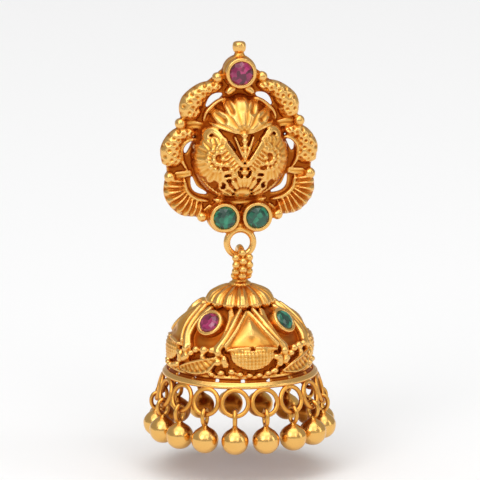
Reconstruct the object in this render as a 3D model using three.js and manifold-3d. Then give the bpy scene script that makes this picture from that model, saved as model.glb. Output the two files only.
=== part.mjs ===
// A jhumka earring: a cast gold stud with a screw post and nut, and a bell with a fringe of bead drops.
// Millimetres, +Z up. The stud's flat back lies on y = 0, its front faces -Y and the post runs along +Y.
import * as THREE from 'three';
import { mergeVertices } from 'three/addons/utils/BufferGeometryUtils.js';
import Module from 'manifold-3d';

const wasm = await Module();
wasm.setup();

// Stud plaque
const studHalfWidth = 7.7;
const studHalfHeight = 8;
const plateThickness = 0.6;
const crescentHalfWidth = 1;
const crescentCrown = 1.5;
const ribDepth = 0.16;
const studGranuleRadius = 0.55;
const studGranuleHeight = 0.95;
const knobRadius = 0.62;
const knobStemRadius = 0.42;
const knobStemHalf = 0.45;

// Medallion in the middle of the stud
const medallionHalfWidth = 4.7;
const medallionTop = 5.7;
const medallionBottom = 4.5;
const medallionCentreZ = -0.6;
const medallionCrown = 3.4;
const reliefHeight = 0.42;

// Stones and their bezels
const rubyRadius = 1.08;
const emeraldRadius = 1.05;
const bellStoneRadius = 0.95;
const stoneThickness = 0.62;
const stoneRise = 0.26;
const stoneClearance = 0.1;
const bezelWall = 0.3;
const bezelFoot = 0.14;
const bezelHeight = 1.85;
const rubyCentreZ = 7.24;
const emeraldCentreZ = -6.62;
const emeraldBezelGap = 0.24;

// Post and screw nut
const postLength = 10.1;
const postRadius = 0.55;
const postFilletRadius = 0.95;
const postFilletLength = 0.7;
const postTipLength = 0.9;
const lobeGap = 4.4;
const nutRadius = 3.6;
const nutThickness = 1.6;
const nutEdge = 0.32;
const nutClearance = 0.14;
const nutGranuleRadius = 0.42;
const nutGranules = 3;
const archRadius = 0.225;
const archReach = 3.9;
const archOffset = 1.1;

// Hanging rings
const hangingWireRadius = 0.33;
const hangingRingRadius = 1.27;
const hangingPlaneY = -1;
const hangClearance = 0.1;
const solderOverlap = 0.16;
const clusterGranuleRadius = 0.38;
const clusterRows = 3;

// Bell
const domeRadius = 6.6;
const domeHeight = 7.9;
const domeWall = 0.55;
const neckRadius = 0.67;
const collarRadius = 1.2;
const neckLength = 1.4;
const collarFall = 0.5;
const collarRise = 0.3;
const capRadius = 3.1;
const capHeight = 2;
const capPetals = 14;
const capPetalRise = 0.16;
const capDrop = 1;
const motifCount = 4;
const motifRise = 0.42;
const cupTilt = 37;
const cupLength = 2.1;
const cupStandOff = 0.75;
const cupDown = 0.34;
const bandSlotHeight = 0.45;
const bandSlotShare = 0.55;
const bandSlotGap = 0.05;
const bandSlotsPerMotif = 2;
const rimRadius = 7.47;
const rimWireRadius = 0.225;

// Fringe
const fringeWireRadius = 0.22;
const fringeTilt = 15;
const fringePhase = 7.3;
const dropWireRadius = 0.2;
const dropLoopHalfHeight = 0.75;
const dropBeadRadius = 1.3;
const dropBeadGap = 0.35;
const dropPoint = 0.42;

// Facet counts
const granuleSides = 6;
const trimSides = 5;
const wireSides = 5;
const linkSides = 9;
const bezelSides = 10;
const stoneSides = 8;
const domeSides = 24;
const hollowSides = 16;
const reliefSides = 3;
const turnedSides = 8;
const nutSides = 14;

// Places on the stud, as shares of its half width and half height, for the +X side
const crescents = [
  {
    path: [[0.247, 0.713], [0.455, 0.65], [0.597, 0.494], [0.571, 0.363]],
    widths: [0.25, 0.6, 1, 0.8],
    ribs: 0,
  },
  {
    path: [[0.571, 0.188], [0.766, 0.138], [0.857, 0], [0.844, -0.163]],
    widths: [0.3, 0.6, 1, 0.9],
    ribs: 0,
  },
  {
    path: [[0.805, -0.36], [0.805, -0.525], [0.695, -0.655], [0.5, -0.735]],
    widths: [0.8, 0.95, 0.95, 0.6],
    ribs: 6,
  },
];
const studGranules = [
  { x: 0.278, z: 0.846, size: 0.95 },
  { x: 0.743, z: 0.306, size: 1 },
  { x: 0.878, z: -0.333, size: 1 },
  { x: 0.473, z: -0.82, size: 0.95 },
];
const slots = [
  { path: [[0.221, 0.65], [0.325, 0.588], [0.416, 0.481]], halfWidth: 0.3 },
  { path: [[0.565, 0.145], [0.636, 0.063], [0.675, -0.06]], halfWidth: 0.28 },
  { path: [[0.1, -0.093], [0.169, -0.006], [0.234, 0.078]], halfWidth: 0.17 },
  { path: [[0.6, -0.34], [0.545, -0.49], [0.377, -0.56]], halfWidth: 0.24 },
];
const plateOutline = [
  [0, 1.02], [0.17, 0.96], [0.31, 0.86], [0.55, 0.66], [0.68, 0.46], [0.74, 0.28], [0.9, 0.08],
  [0.9, -0.3], [0.86, -0.52], [0.68, -0.73], [0.46, -0.83], [0.2, -0.94], [0, -0.96],
];

// Relief on the medallion, in the same shares: half widths in shares of the medallion's half width
const palmette = {
  hub: [0, 0.2],
  tips: [[0, 0.64], [0.2, 0.55], [-0.2, 0.55], [0.35, 0.375], [-0.35, 0.375]],
  halfWidth: 0.145,
};
const fan = {
  hub: [0.3, -0.12],
  tips: [[0.53, 0.06], [0.59, -0.07], [0.59, -0.2], [0.52, -0.32], [0.4, -0.38]],
  halfWidth: 0.12,
};
const lotus = {
  hub: [0, -0.6],
  tips: [[0, -0.37], [0.15, -0.41], [-0.15, -0.41]],
  halfWidth: 0.1,
};
const petalWidths = [0.4, 1, 0.8];
const petalStart = 0.3;
const stemPath = [
  [0.01, -0.25], [0.13, -0.1], [0.24, 0.07], [0.34, 0.19], [0.43, 0.2], [0.46, 0.12],
];
const stemHalfWidth = 0.22;
const ribbedBody = { path: [[0.15, -0.27], [0.24, -0.16], [0.35, 0]], halfWidth: 0.62, ribs: 3 };
const curl = { x: 0.31, z: -0.47, radius: 0.5 };
const beadStem = { from: 0.17, to: 0.03, count: 3, radius: 0.3 };

// Dome under the ornament: how far down its height, and its radius as a share of its widest
const domeProfile = [
  { down: 0, radius: 0.15 },
  { down: 0.2, radius: 0.49 },
  { down: 0.399, radius: 0.79 },
  { down: 0.6, radius: 0.955 },
  { down: 0.88, radius: 1 },
];

// Ornament on the dome, in shares: u runs round it over half a motif's sector, v down it over its height
const gableSide = [[0, 0.2], [0.24, 0.37], [0.66, 0.63]];
const gableBase = [[-0.48, 0.565], [0, 0.55], [0.48, 0.565]];
const gableFace = { top: 0.27, bottom: 0.54, halfWidth: 0.34, lift: 0.25, rise: 2.2 };
const basket = { v: 0.69, halfWidth: 0.39, halfHeight: 0.13, rise: 1.4 };
const basketBeads = { v: [0.85, 0.88, 0.85], spread: 0.3, radius: 0.34, lift: 0.18 };
const leafPath = [[-0.36, 0.885], [-0.14, 0.85], [0.12, 0.79], [0.32, 0.69]];
const leafWidths = [0.2, 0.9, 1, 0.15];
const leafHalfWidth = 0.7;
const ridgeWidths = [0.8, 1, 1];
const ridgeHalfWidth = 0.24;

// Fluted cap: radius as a share of its widest, and how far down it
const capRows = [[0.3, 0], [0.82, 0.33], [1, 1]];

// Bead of a drop: radius and height from its centre, as shares of its radius, and the height of its shoulder
const beadProfile = [[0, -1], [0.66, -0.77], [1, -0.08], [0.74, 0.66]];
const beadShoulder = 0.86;

// Post tip, from its neck to its end: radius as a share of the post's, and length as a share of the tip's
const postTip = [[1, 0], [0.75, 0.22], [0.9, 0.56], [0.5, 1], [0, 1]];

// Finger arch of the nut: how far out and how far up from the middle, as shares of its reach and its foot
const archRise = [[0, 1], [0.55, 0.95], [0.85, 0.6], [1, 0], [0.85, -0.6], [0.55, -0.95], [0, -1]];

// Places worked out from the sizes above
const emeraldX = emeraldRadius + stoneClearance + bezelWall + emeraldBezelGap / 2;
const studRingZ = emeraldCentreZ - Math.sqrt(
  (emeraldRadius + stoneClearance + bezelWall + hangingRingRadius) ** 2 - emeraldX ** 2,
) - hangingWireRadius;
const swingZ = studRingZ - hangingRingRadius;
const bellRingZ = swingZ + 2 * hangingWireRadius + hangClearance - hangingRingRadius;
const neckTopZ = bellRingZ - hangingRingRadius - hangingWireRadius / 2;
const domeTopZ = neckTopZ - neckLength;
const rimZ = domeTopZ - domeHeight;
const rimWireCentre = rimRadius - rimWireRadius;
const sector = Math.PI / motifCount;
const tilt = THREE.MathUtils.degToRad(fringeTilt);
const fringeTopRadius = rimWireCentre + rimWireRadius / 2;
const beadPathRadius = fringeTopRadius + 2 * dropBeadRadius * Math.sin(tilt);
const fringeCount = Math.floor(2 * Math.PI * beadPathRadius / (2 * dropBeadRadius + dropBeadGap));
const halfStep = Math.sin(Math.PI / fringeCount);
const fringeOuter = (fringeTopRadius - fringeWireRadius * Math.sin(tilt)) * halfStep
  / (1 - Math.sin(tilt) * halfStep) + solderOverlap / 4;
const fringeRingRadius = fringeOuter - fringeWireRadius;
const fringeCentre = fringeTopRadius + fringeRingRadius * Math.sin(tilt);
const fringeZ = rimZ - rimWireRadius - fringeOuter * Math.cos(tilt) + solderOverlap;
const fringeFootRadius = fringeCentre + fringeRingRadius * Math.sin(tilt);
const fringeFootZ = fringeZ - fringeRingRadius * Math.cos(tilt);
const nutBore = postRadius + nutClearance;

const gold = { color: 0xd99a2b, roughness: 0.38, metalness: 1 };
const brightGold = { color: 0xe3ab3f, roughness: 0.24, metalness: 1 };
const ruby = { color: 0x8f0f4c, roughness: 0.12, metalness: 0 };
const emerald = { color: 0x0c6b45, roughness: 0.12, metalness: 0 };

const earring = new THREE.Group();

// Turning three.js geometry into solids and back

function solid(geometry) {
  const bare = new THREE.BufferGeometry();
  bare.setAttribute('position', geometry.getAttribute('position').clone());
  if (geometry.index) bare.setIndex(geometry.index.clone());
  const merged = mergeVertices(bare, 1e-4);
  const triangles = [];
  for (let i = 0; i < merged.index.count; i += 3) {
    const [a, b, c] = [0, 1, 2].map((k) => merged.index.getX(i + k));
    if (a !== b && b !== c && c !== a) triangles.push(a, b, c);
  }
  return new wasm.Manifold(new wasm.Mesh({
    numProp: 3,
    vertProperties: new Float32Array(merged.getAttribute('position').array),
    triVerts: new Uint32Array(triangles),
  }));
}

function joined(solids) {
  return solids.reduce((whole, piece) => whole.add(piece));
}

function addPiece(name, body, look) {
  const mesh = body.getMesh();
  const geometry = new THREE.BufferGeometry();
  geometry.setAttribute('position', new THREE.BufferAttribute(new Float32Array(mesh.vertProperties), 3));
  geometry.setIndex(new THREE.BufferAttribute(new Uint32Array(mesh.triVerts), 1));
  geometry.computeVertexNormals();
  const piece = new THREE.Mesh(geometry, new THREE.MeshStandardMaterial(look));
  piece.name = name;
  earring.add(piece);
  return piece;
}

// Simple forms

function mapVertices(geometry, toPoint) {
  const place = geometry.getAttribute('position');
  const point = new THREE.Vector3();
  for (let i = 0; i < place.count; i += 1) {
    point.fromBufferAttribute(place, i);
    const moved = toPoint(point);
    place.setXYZ(i, moved.x, moved.y, moved.z);
  }
  return geometry;
}

function ball(radius, x, y, z, sides = granuleSides) {
  const form = new THREE.SphereGeometry(radius, sides, Math.ceil(sides / 2));
  return form.rotateX(Math.PI / 2).translate(x, y, z);
}

function turned(profile, sides) {
  const points = profile.map(([radius, height]) => new THREE.Vector2(radius, height));
  return new THREE.LatheGeometry(points, sides).rotateX(Math.PI / 2);
}

function curveThrough(points) {
  return new THREE.CatmullRomCurve3(points.map(([u, v]) => new THREE.Vector3(u, v, 0)));
}

function shareOf(values, t) {
  const place = t * (values.length - 1);
  const low = Math.min(Math.floor(place), values.length - 2);
  return THREE.MathUtils.lerp(values[low], values[low + 1], place - low);
}

// A bar that follows a curve in the u-v plane: its section is an oval, w is its thickness direction
function bar({
  path, widths, halfWidth, halfHeight, centre = 0, sides = 6, steps = 6, ribs = 0, ends = 0.1,
}) {
  const curve = curveThrough(path);
  const rows = ribs ? ribs * 2 + 2 : steps;
  return mapVertices(new THREE.CylinderGeometry(1, 1, 1, sides, rows), ({ x, y, z }) => {
    const t = THREE.MathUtils.clamp(0.5 - y, 0, 1);
    const at = curve.getPointAt(t);
    const along = curve.getTangentAt(t);
    const taper = Math.sqrt(Math.min(1, (Math.min(t, 1 - t) + 0.02) / (ends + 0.02)));
    const groove = ribs && Math.round(t * rows) % 2 === 0 ? ribDepth : 0;
    const across = x * shareOf(widths, t) * halfWidth * taper;
    return new THREE.Vector3(
      at.x - along.y * across,
      at.y + along.x * across,
      centre + z * (halfHeight - groove) * taper,
    );
  });
}

// A prism through the metal with the outline of a bent, pointed slot
function slotCutter(path, halfWidth, depth) {
  const curve = curveThrough(path);
  const stations = [0, 0.3, 0.7, 1];
  const edge = (side) => stations.map((t) => {
    const at = curve.getPointAt(t);
    const along = curve.getTangentAt(t);
    const across = side * halfWidth * (0.35 + 0.65 * Math.sin(Math.PI * t));
    return new THREE.Vector2(at.x - along.y * across, at.y + along.x * across);
  });
  const shape = new THREE.Shape([...edge(-1), ...edge(1).reverse()]);
  return new THREE.ExtrudeGeometry(shape, { depth, bevelEnabled: false });
}

// A closed bezel standing on w = 0, with a pocket for its stone
function bezelForm(stoneRadius, height, foot) {
  const pocket = stoneRadius + stoneClearance;
  const floor = height - stoneThickness + stoneRise - stoneClearance;
  const outer = pocket + bezelWall;
  const shoulder = foot ? [[outer + foot, 0], [outer + foot, height * 0.62]] : [[outer, 0]];
  const points = [[0, 0], ...shoulder, [outer, height], [pocket, height], [pocket, floor], [0, floor]];
  const lathe = new THREE.LatheGeometry(points.map(([r, w]) => new THREE.Vector2(r, w)), bezelSides);
  return lathe.rotateX(Math.PI / 2);
}

// A cut stone seated in a bezel of that height: flat base, girdle, crown facets and table
function stoneForm(radius, height) {
  const top = height + stoneRise;
  const base = top - stoneThickness;
  const girdle = base + stoneThickness * 0.45;
  const points = [
    [0, base], [radius * 0.7, base], [radius, girdle], [radius * 0.58, top], [0, top],
  ];
  const lathe = new THREE.LatheGeometry(points.map(([r, w]) => new THREE.Vector2(r, w)), stoneSides);
  return lathe.rotateX(Math.PI / 2);
}

// Stud

function studPoint([x, z]) {
  return [x * studHalfWidth, z * studHalfHeight];
}

function mirrored(path) {
  return path.map(([x, z]) => [-x, z]);
}

// Height of the medallion's dome in front of the plaque's back
function medallionDepth(x, z) {
  const reach = z > medallionCentreZ ? medallionTop : medallionBottom;
  const edge = 1 - (x / medallionHalfWidth) ** 2 - ((z - medallionCentreZ) / reach) ** 2;
  return plateThickness / 2 + (medallionCrown - plateThickness / 2) * Math.max(edge, 0) ** 0.45;
}

// Stand a form drawn in u, v, w on the plaque, or on the medallion's dome
function onPlaque(geometry) {
  return solid(mapVertices(geometry, ({ x, y, z }) => new THREE.Vector3(x, -z, y)));
}

function onMedallion(geometry) {
  return solid(mapVertices(geometry, ({ x, y, z }) => new THREE.Vector3(x, -z - medallionDepth(x, y), y)));
}

function plaque() {
  const right = plateOutline.map(studPoint);
  const left = mirrored(right.slice(1, -1)).reverse();
  const outline = new THREE.Shape([...right, ...left].map(([x, z]) => new THREE.Vector2(x, z)).reverse());
  return onPlaque(new THREE.ExtrudeGeometry(outline, { depth: plateThickness, bevelEnabled: false }));
}

function medallion() {
  const form = new THREE.SphereGeometry(1, 14, 6).rotateX(Math.PI / 2);
  return solid(mapVertices(form, ({ x, y, z }) => {
    const reach = z > 0 ? medallionTop : medallionBottom;
    const px = x * medallionHalfWidth;
    const pz = medallionCentreZ + z * reach;
    return new THREE.Vector3(px, y < -1e-6 ? -medallionDepth(px, pz) : plateThickness, pz);
  }));
}

function petals({ hub, tips, halfWidth }, side = 1) {
  const between = (tip, t) => studPoint([
    side * THREE.MathUtils.lerp(hub[0], tip[0], t), THREE.MathUtils.lerp(hub[1], tip[1], t),
  ]);
  return tips.map((tip) => onMedallion(bar({
    path: [between(tip, petalStart), between(tip, (1 + petalStart) / 2), between(tip, 1)],
    widths: petalWidths,
    halfWidth: halfWidth * medallionHalfWidth,
    halfHeight: reliefHeight,
    sides: reliefSides,
    steps: 2,
    ends: 0.2,
  })));
}

function studSide(side) {
  const turn = ([x, z]) => studPoint([x * side, z]);
  const forms = crescents.map(({ path, widths, ribs }) => onPlaque(bar({
    path: path.map(turn),
    widths,
    halfWidth: crescentHalfWidth,
    halfHeight: crescentCrown - plateThickness,
    centre: plateThickness,
    sides: ribs ? 5 : 6,
    steps: 5,
    ribs,
  })));
  studGranules.forEach(({ x, z, size }) => {
    const [px, pz] = turn([x, z]);
    forms.push(solid(ball(studGranuleRadius * size, px, -studGranuleHeight, pz)));
  });
  forms.push(...petals(fan, side));
  forms.push(onMedallion(bar({
    path: stemPath.map(turn),
    widths: ridgeWidths,
    halfWidth: stemHalfWidth,
    halfHeight: reliefHeight,
    steps: 4,
    sides: reliefSides,
  })));
  forms.push(onMedallion(bar({
    path: ribbedBody.path.map(turn),
    widths: [0.4, 1, 0.9],
    halfWidth: ribbedBody.halfWidth,
    halfHeight: reliefHeight,
    sides: reliefSides,
    ribs: ribbedBody.ribs,
  })));
  const [curlX, curlZ] = turn([curl.x, curl.z]);
  forms.push(onMedallion(new THREE.SphereGeometry(curl.radius, trimSides, 3).translate(curlX, curlZ, 0)));
  return forms;
}

// The plaque and its dome with the slots sawn through them
function piercedGround() {
  const cutters = [];
  [-1, 1].forEach((side) => slots.forEach(({ path, halfWidth }) => {
    const points = path.map(([x, z]) => studPoint([x * side, z]));
    const cutter = slotCutter(points, halfWidth, 3 * medallionCrown).translate(0, 0, -medallionCrown);
    cutters.push(onPlaque(cutter));
  }));
  return cutters.reduce((whole, cutter) => whole.subtract(cutter), plaque().add(medallion()));
}

function frontHalf(form) {
  const front = 4 * medallionCrown;
  const room = new THREE.BoxGeometry(4 * studHalfWidth, front, 4 * studHalfHeight);
  return form.intersect(solid(room.translate(0, -front / 2, 0)));
}

function stoneSeats() {
  return [
    { name: 'ruby_top', x: 0, z: rubyCentreZ, radius: rubyRadius, look: ruby },
    { name: 'emerald_left', x: -emeraldX, z: emeraldCentreZ, radius: emeraldRadius, look: emerald },
    { name: 'emerald_right', x: emeraldX, z: emeraldCentreZ, radius: emeraldRadius, look: emerald },
  ];
}

function knob() {
  const bezelTop = rubyCentreZ + rubyRadius + stoneClearance + bezelWall;
  const [low, high] = [bezelTop - knobStemHalf, bezelTop + knobStemHalf];
  const stem = turned([[0, low], [knobStemRadius, low], [knobStemRadius, high], [0, high]], granuleSides);
  const knobZ = bezelTop + (knobStemHalf + knobRadius) * 0.78;
  return [
    solid(stem.translate(0, -knobRadius, 0)),
    solid(ball(knobRadius, 0, -knobRadius, knobZ, granuleSides + 1)),
  ];
}

function post() {
  const profile = [
    [0, -plateThickness / 2], [postFilletRadius, -plateThickness / 2], [postFilletRadius, 0],
    [postRadius, postFilletLength],
    ...postTip.map(([r, run]) => [r * postRadius, postLength - (1 - run) * postTipLength]),
  ];
  return solid(turned(profile, turnedSides).rotateX(-Math.PI / 2));
}

function studRing() {
  const ring = new THREE.TorusGeometry(hangingRingRadius, hangingWireRadius, 6, 14).rotateX(Math.PI / 2);
  const top = studRingZ + hangingRingRadius;
  return [
    solid(ring.translate(0, hangingPlaneY, studRingZ)),
    solid(ball(hangingWireRadius * 1.6, 0, hangingPlaneY * 0.7, top + hangingWireRadius, 8)),
  ];
}

function makeStud() {
  const forms = [piercedGround(), ...studSide(1), ...studSide(-1), ...petals(palmette), ...petals(lotus)];
  for (let i = 0; i < beadStem.count; i += 1) {
    const share = THREE.MathUtils.lerp(beadStem.from, beadStem.to, i / (beadStem.count - 1));
    const bead = new THREE.SphereGeometry(beadStem.radius, trimSides, 3);
    forms.push(onMedallion(bead.translate(0, share * studHalfHeight, 0)));
  }
  const seats = stoneSeats();
  const clear = seats.reduce((whole, { x, z, radius }) => {
    const well = new THREE.CylinderGeometry(radius, radius, 4 * bezelHeight, bezelSides);
    return whole.subtract(solid(well.translate(x, -bezelHeight * 2 - plateThickness, z)));
  }, frontHalf(joined(forms)));
  const bezels = seats.map(({ x, z, radius }) => (
    onPlaque(bezelForm(radius, bezelHeight, bezelFoot).translate(x, z, 0))
  ));
  addPiece('stud', joined([clear, ...bezels, ...knob(), post(), ...studRing()]), gold);
  seats.forEach(({ name, x, z, radius, look }) => {
    addPiece(name, onPlaque(stoneForm(radius, bezelHeight).translate(x, z, 0)), look);
  });
}

// Screw nut with its finger arch

function makeNut() {
  const profile = [
    [nutBore, 0], [nutRadius - nutEdge, 0], [nutRadius, nutEdge], [nutRadius, nutThickness - nutEdge],
    [nutRadius - nutEdge * 1.6, nutThickness], [nutBore, nutThickness], [nutBore, 0],
  ];
  const forms = [solid(turned(profile, nutSides).rotateX(-Math.PI / 2))];
  const archFoot = nutRadius - nutEdge * 2.2;
  const span = archReach + archRadius;
  const path = archRise.map(([out, up]) => [out ? out * span : -archRadius, up * archFoot]);
  const arch = bar({
    path,
    widths: [1, 1],
    halfWidth: archRadius,
    halfHeight: archRadius,
    sides: wireSides,
    steps: 10,
    ends: 0.001,
  });
  forms.push(solid(mapVertices(arch, ({ x, y, z }) => (
    new THREE.Vector3(archOffset + z, nutThickness + x, y)
  ))));
  for (let i = 0; i < nutGranules; i += 1) {
    const angle = (i + 0.5) / nutGranules * 2 * Math.PI;
    const ring = nutRadius - nutEdge - nutGranuleRadius * 1.4;
    forms.push(solid(ball(
      nutGranuleRadius, ring * Math.cos(angle), nutThickness - nutGranuleRadius * 0.2, ring * Math.sin(angle),
    )));
  }
  addPiece('screw_nut', joined(forms).translate(0, lobeGap, 0), brightGold);
}

// Bell

function domeRadiusAt(z) {
  const down = THREE.MathUtils.clamp((domeTopZ - z) / domeHeight, 0, 1);
  const last = domeProfile[domeProfile.length - 1];
  const rows = [...domeProfile, { down: 1, radius: (rimWireCentre - 0.05) / domeRadius }];
  const next = Math.max(rows.findIndex((row) => row.down > down), 1);
  const high = rows[down > last.down ? rows.length - 1 : next];
  const low = rows[rows.indexOf(high) - 1];
  const share = (down - low.down) / (high.down - low.down);
  return domeRadius * THREE.MathUtils.lerp(low.radius, high.radius, share);
}

// Lay a form on the dome: x is the way round in radians times the dome's radius, y is z, z stands out
function onDome(geometry, angle) {
  return solid(mapVertices(geometry, ({ x, y, z }) => {
    const turn = angle + x / domeRadius;
    const span = domeHeight * 0.04;
    const slope = (domeRadiusAt(y - span) - domeRadiusAt(y + span)) / (2 * span);
    const length = Math.hypot(1, slope);
    const radius = domeRadiusAt(y) + z / length;
    return new THREE.Vector3(
      radius * Math.sin(turn), hangingPlaneY - radius * Math.cos(turn), y + z * slope / length,
    );
  }));
}

function domePoint([u, v]) {
  return [u * sector * domeRadius, domeTopZ - v * domeHeight];
}

function domeOutline(inset) {
  return domeProfile.map(({ down, radius }, i) => {
    const before = domeProfile[Math.max(i - 1, 0)];
    const after = domeProfile[Math.min(i + 1, domeProfile.length - 1)];
    const out = new THREE.Vector2(
      (after.down - before.down) * domeHeight, (after.radius - before.radius) * domeRadius,
    ).normalize();
    return [radius * domeRadius - out.x * inset, domeTopZ - down * domeHeight - out.y * inset];
  });
}

function domeBody() {
  const profile = [[0, domeTopZ], ...domeOutline(0), [rimWireCentre, rimZ], [0, rimZ]];
  return solid(turned(profile.reverse(), domeSides).translate(0, hangingPlaneY, 0));
}

function neck() {
  const foot = domeTopZ - collarRise;
  const profile = [
    [0, neckTopZ], [neckRadius, neckTopZ], [neckRadius, neckTopZ - collarFall],
    [collarRadius, neckTopZ - collarFall - collarRise], [collarRadius, foot], [0, foot],
  ];
  return solid(turned(profile.reverse(), turnedSides).translate(0, hangingPlaneY, 0));
}

function domeHollow() {
  const below = rimZ - domeWall;
  const profile = [
    ...domeOutline(domeWall).slice(1), [rimWireCentre - domeWall, rimZ], [rimWireCentre - domeWall, below],
    [0, below],
  ];
  const top = profile[0][1];
  return solid(turned([[0, top], ...profile].reverse(), hollowSides).translate(0, hangingPlaneY, 0));
}

// Fluted cap: its petals bulge between their joints and end in a scalloped edge
function cap() {
  const perPetal = 3;
  const top = neckTopZ - capDrop;
  const rows = capRows.map(([r, down]) => [r * capRadius, top - down * capHeight]);
  const form = turned([[0, top], ...rows, [0, top - capHeight]].reverse(), capPetals * perPetal);
  return solid(mapVertices(form, ({ x, y, z }) => {
    const radius = Math.hypot(x, y);
    const swell = Math.abs(Math.sin(Math.atan2(x, -y) * capPetals / 2));
    const lift = radius > 0.01 ? capPetalRise * (2 * swell - 1) * Math.min(1, radius / capRadius + 0.2) : 0;
    const grow = radius > 0.01 ? (radius + lift) / radius : 1;
    return new THREE.Vector3(x * grow, y * grow + hangingPlaneY, z);
  }));
}

function bellRing() {
  const ring = new THREE.TorusGeometry(hangingRingRadius, hangingWireRadius, 6, 12).rotateY(Math.PI / 2);
  const forms = [solid(ring.translate(0, hangingPlaneY, bellRingZ))];
  const reach = hangingRingRadius + hangingWireRadius;
  const step = clusterGranuleRadius * 1.75;
  for (let row = 0; row < clusterRows; row += 1) {
    const angle = (row - 0.7) * step / reach;
    for (let column = -1; column <= 1; column += 1) {
      const out = reach + (column === 0 ? 0.12 : -0.1);
      forms.push(solid(ball(
        clusterGranuleRadius,
        column * step * 0.75,
        hangingPlaneY - out * Math.cos(angle),
        bellRingZ - out * Math.sin(angle),
        trimSides,
      )));
    }
  }
  return forms;
}

// One gable with its basket and beads
function motif(angle) {
  const ridge = {
    widths: ridgeWidths, halfWidth: ridgeHalfWidth, halfHeight: motifRise, sides: reliefSides, steps: 3,
  };
  const forms = [onDome(bar({ ...ridge, path: gableBase.map(domePoint) }), angle)];
  const face = new THREE.ConeGeometry(1, motifRise * gableFace.rise, 3).rotateX(Math.PI / 2).rotateZ(Math.PI);
  const [halfWidth] = domePoint([gableFace.halfWidth, 0]);
  const faceTop = domePoint([0, gableFace.top])[1];
  const faceBottom = domePoint([0, gableFace.bottom])[1];
  const faceForm = mapVertices(face, ({ x, y, z }) => new THREE.Vector3(
    x / Math.sin(Math.PI / 3) * halfWidth,
    faceBottom + (0.5 + y) / 1.5 * (faceTop - faceBottom),
    z + gableFace.lift,
  ));
  forms.push(onDome(faceForm, angle));
  const bowl = new THREE.SphereGeometry(1, 8, 4);
  const [bowlWidth] = domePoint([basket.halfWidth, 0]);
  forms.push(onDome(mapVertices(bowl, ({ x, y, z }) => new THREE.Vector3(
    x * bowlWidth,
    domePoint([0, basket.v])[1] + y * basket.halfHeight * domeHeight,
    z * motifRise * basket.rise,
  )), angle));
  basketBeads.v.forEach((v, i) => {
    const [u, z] = domePoint([(i - (basketBeads.v.length - 1) / 2) * basketBeads.spread, v]);
    const bead = new THREE.SphereGeometry(basketBeads.radius, trimSides, 3);
    forms.push(onDome(bead.translate(u, z, basketBeads.lift), angle));
  });
  [-1, 1].forEach((side) => {
    forms.push(onDome(bar({ ...ridge, path: gableSide.map(([u, v]) => domePoint([u * side, v])) }), angle));
  });
  return forms;
}

// The leaf that slants under a stone's cup
function leaf(angle) {
  return onDome(bar({
    path: leafPath.map(domePoint),
    widths: leafWidths,
    halfWidth: leafHalfWidth,
    halfHeight: motifRise,
    sides: reliefSides + 1,
    steps: 4,
  }), angle);
}

function cupPlace(geometry, angle) {
  const lean = THREE.MathUtils.degToRad(cupTilt);
  const [, z] = domePoint([0, cupDown]);
  const radius = domeRadiusAt(z) + cupStandOff * Math.cos(lean);
  const frame = new THREE.Matrix4().makeRotationX(Math.PI / 2 - lean);
  const place = new THREE.Matrix4().makeTranslation(0, -radius, z + cupStandOff * Math.sin(lean));
  const turn = new THREE.Matrix4().makeRotationZ(angle);
  const shift = new THREE.Matrix4().makeTranslation(0, hangingPlaneY, 0);
  return geometry.applyMatrix4(frame).applyMatrix4(place).applyMatrix4(turn).applyMatrix4(shift);
}

function bandSlots() {
  const count = motifCount * bandSlotsPerMotif;
  const width = 2 * Math.PI * domeRadius / count * bandSlotShare;
  const z = rimZ + rimWireRadius + bandSlotHeight / 2 + bandSlotGap;
  return Array.from({ length: count }, (_, i) => {
    const box = new THREE.BoxGeometry(width, domeRadius / 2, bandSlotHeight).translate(0, -domeRadius, 0);
    return solid(box.rotateZ((i + 0.5) / count * 2 * Math.PI).translate(0, hangingPlaneY, z));
  });
}

function fringeRings() {
  return fringeAngles().map((angle) => {
    const ring = new THREE.TorusGeometry(fringeRingRadius, fringeWireRadius, wireSides, linkSides);
    ring.rotateX(Math.PI / 2).rotateX(-tilt).translate(0, -fringeCentre, fringeZ);
    return solid(ring.rotateZ(angle).translate(0, hangingPlaneY, 0));
  });
}

function fringeAngles() {
  const first = THREE.MathUtils.degToRad(fringePhase);
  return Array.from({ length: fringeCount }, (_, i) => first + i / fringeCount * 2 * Math.PI);
}

function makeBell() {
  const forms = [domeBody(), neck(), cap()];
  for (let i = 0; i < motifCount; i += 1) {
    const angle = i / motifCount * 2 * Math.PI;
    forms.push(...motif(angle));
    forms.push(leaf(angle + sector));
    const cup = bezelForm(bellStoneRadius, cupLength, 0).translate(0, 0, -cupLength);
    forms.push(solid(cupPlace(cup, angle + sector)));
  }
  const hollowed = joined(forms).subtract(domeHollow());
  const shell = bandSlots().reduce((whole, slot) => whole.subtract(slot), hollowed);
  const rim = new THREE.TorusGeometry(rimWireCentre, rimWireRadius, wireSides, domeSides);
  rim.translate(0, hangingPlaneY, rimZ);
  addPiece('bell', joined([shell, solid(rim), ...bellRing(), ...fringeRings()]), gold);
  for (let i = 0; i < motifCount; i += 1) {
    const isRuby = i % 2 === 1;
    const stone = stoneForm(bellStoneRadius, cupLength).translate(0, 0, -cupLength);
    const name = `bell_${isRuby ? 'ruby' : 'emerald'}_${Math.floor(i / 2) + 1}`;
    addPiece(name, solid(cupPlace(stone, (2 * i + 1) * sector)), isRuby ? ruby : emerald);
  }
}

// Drops

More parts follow.
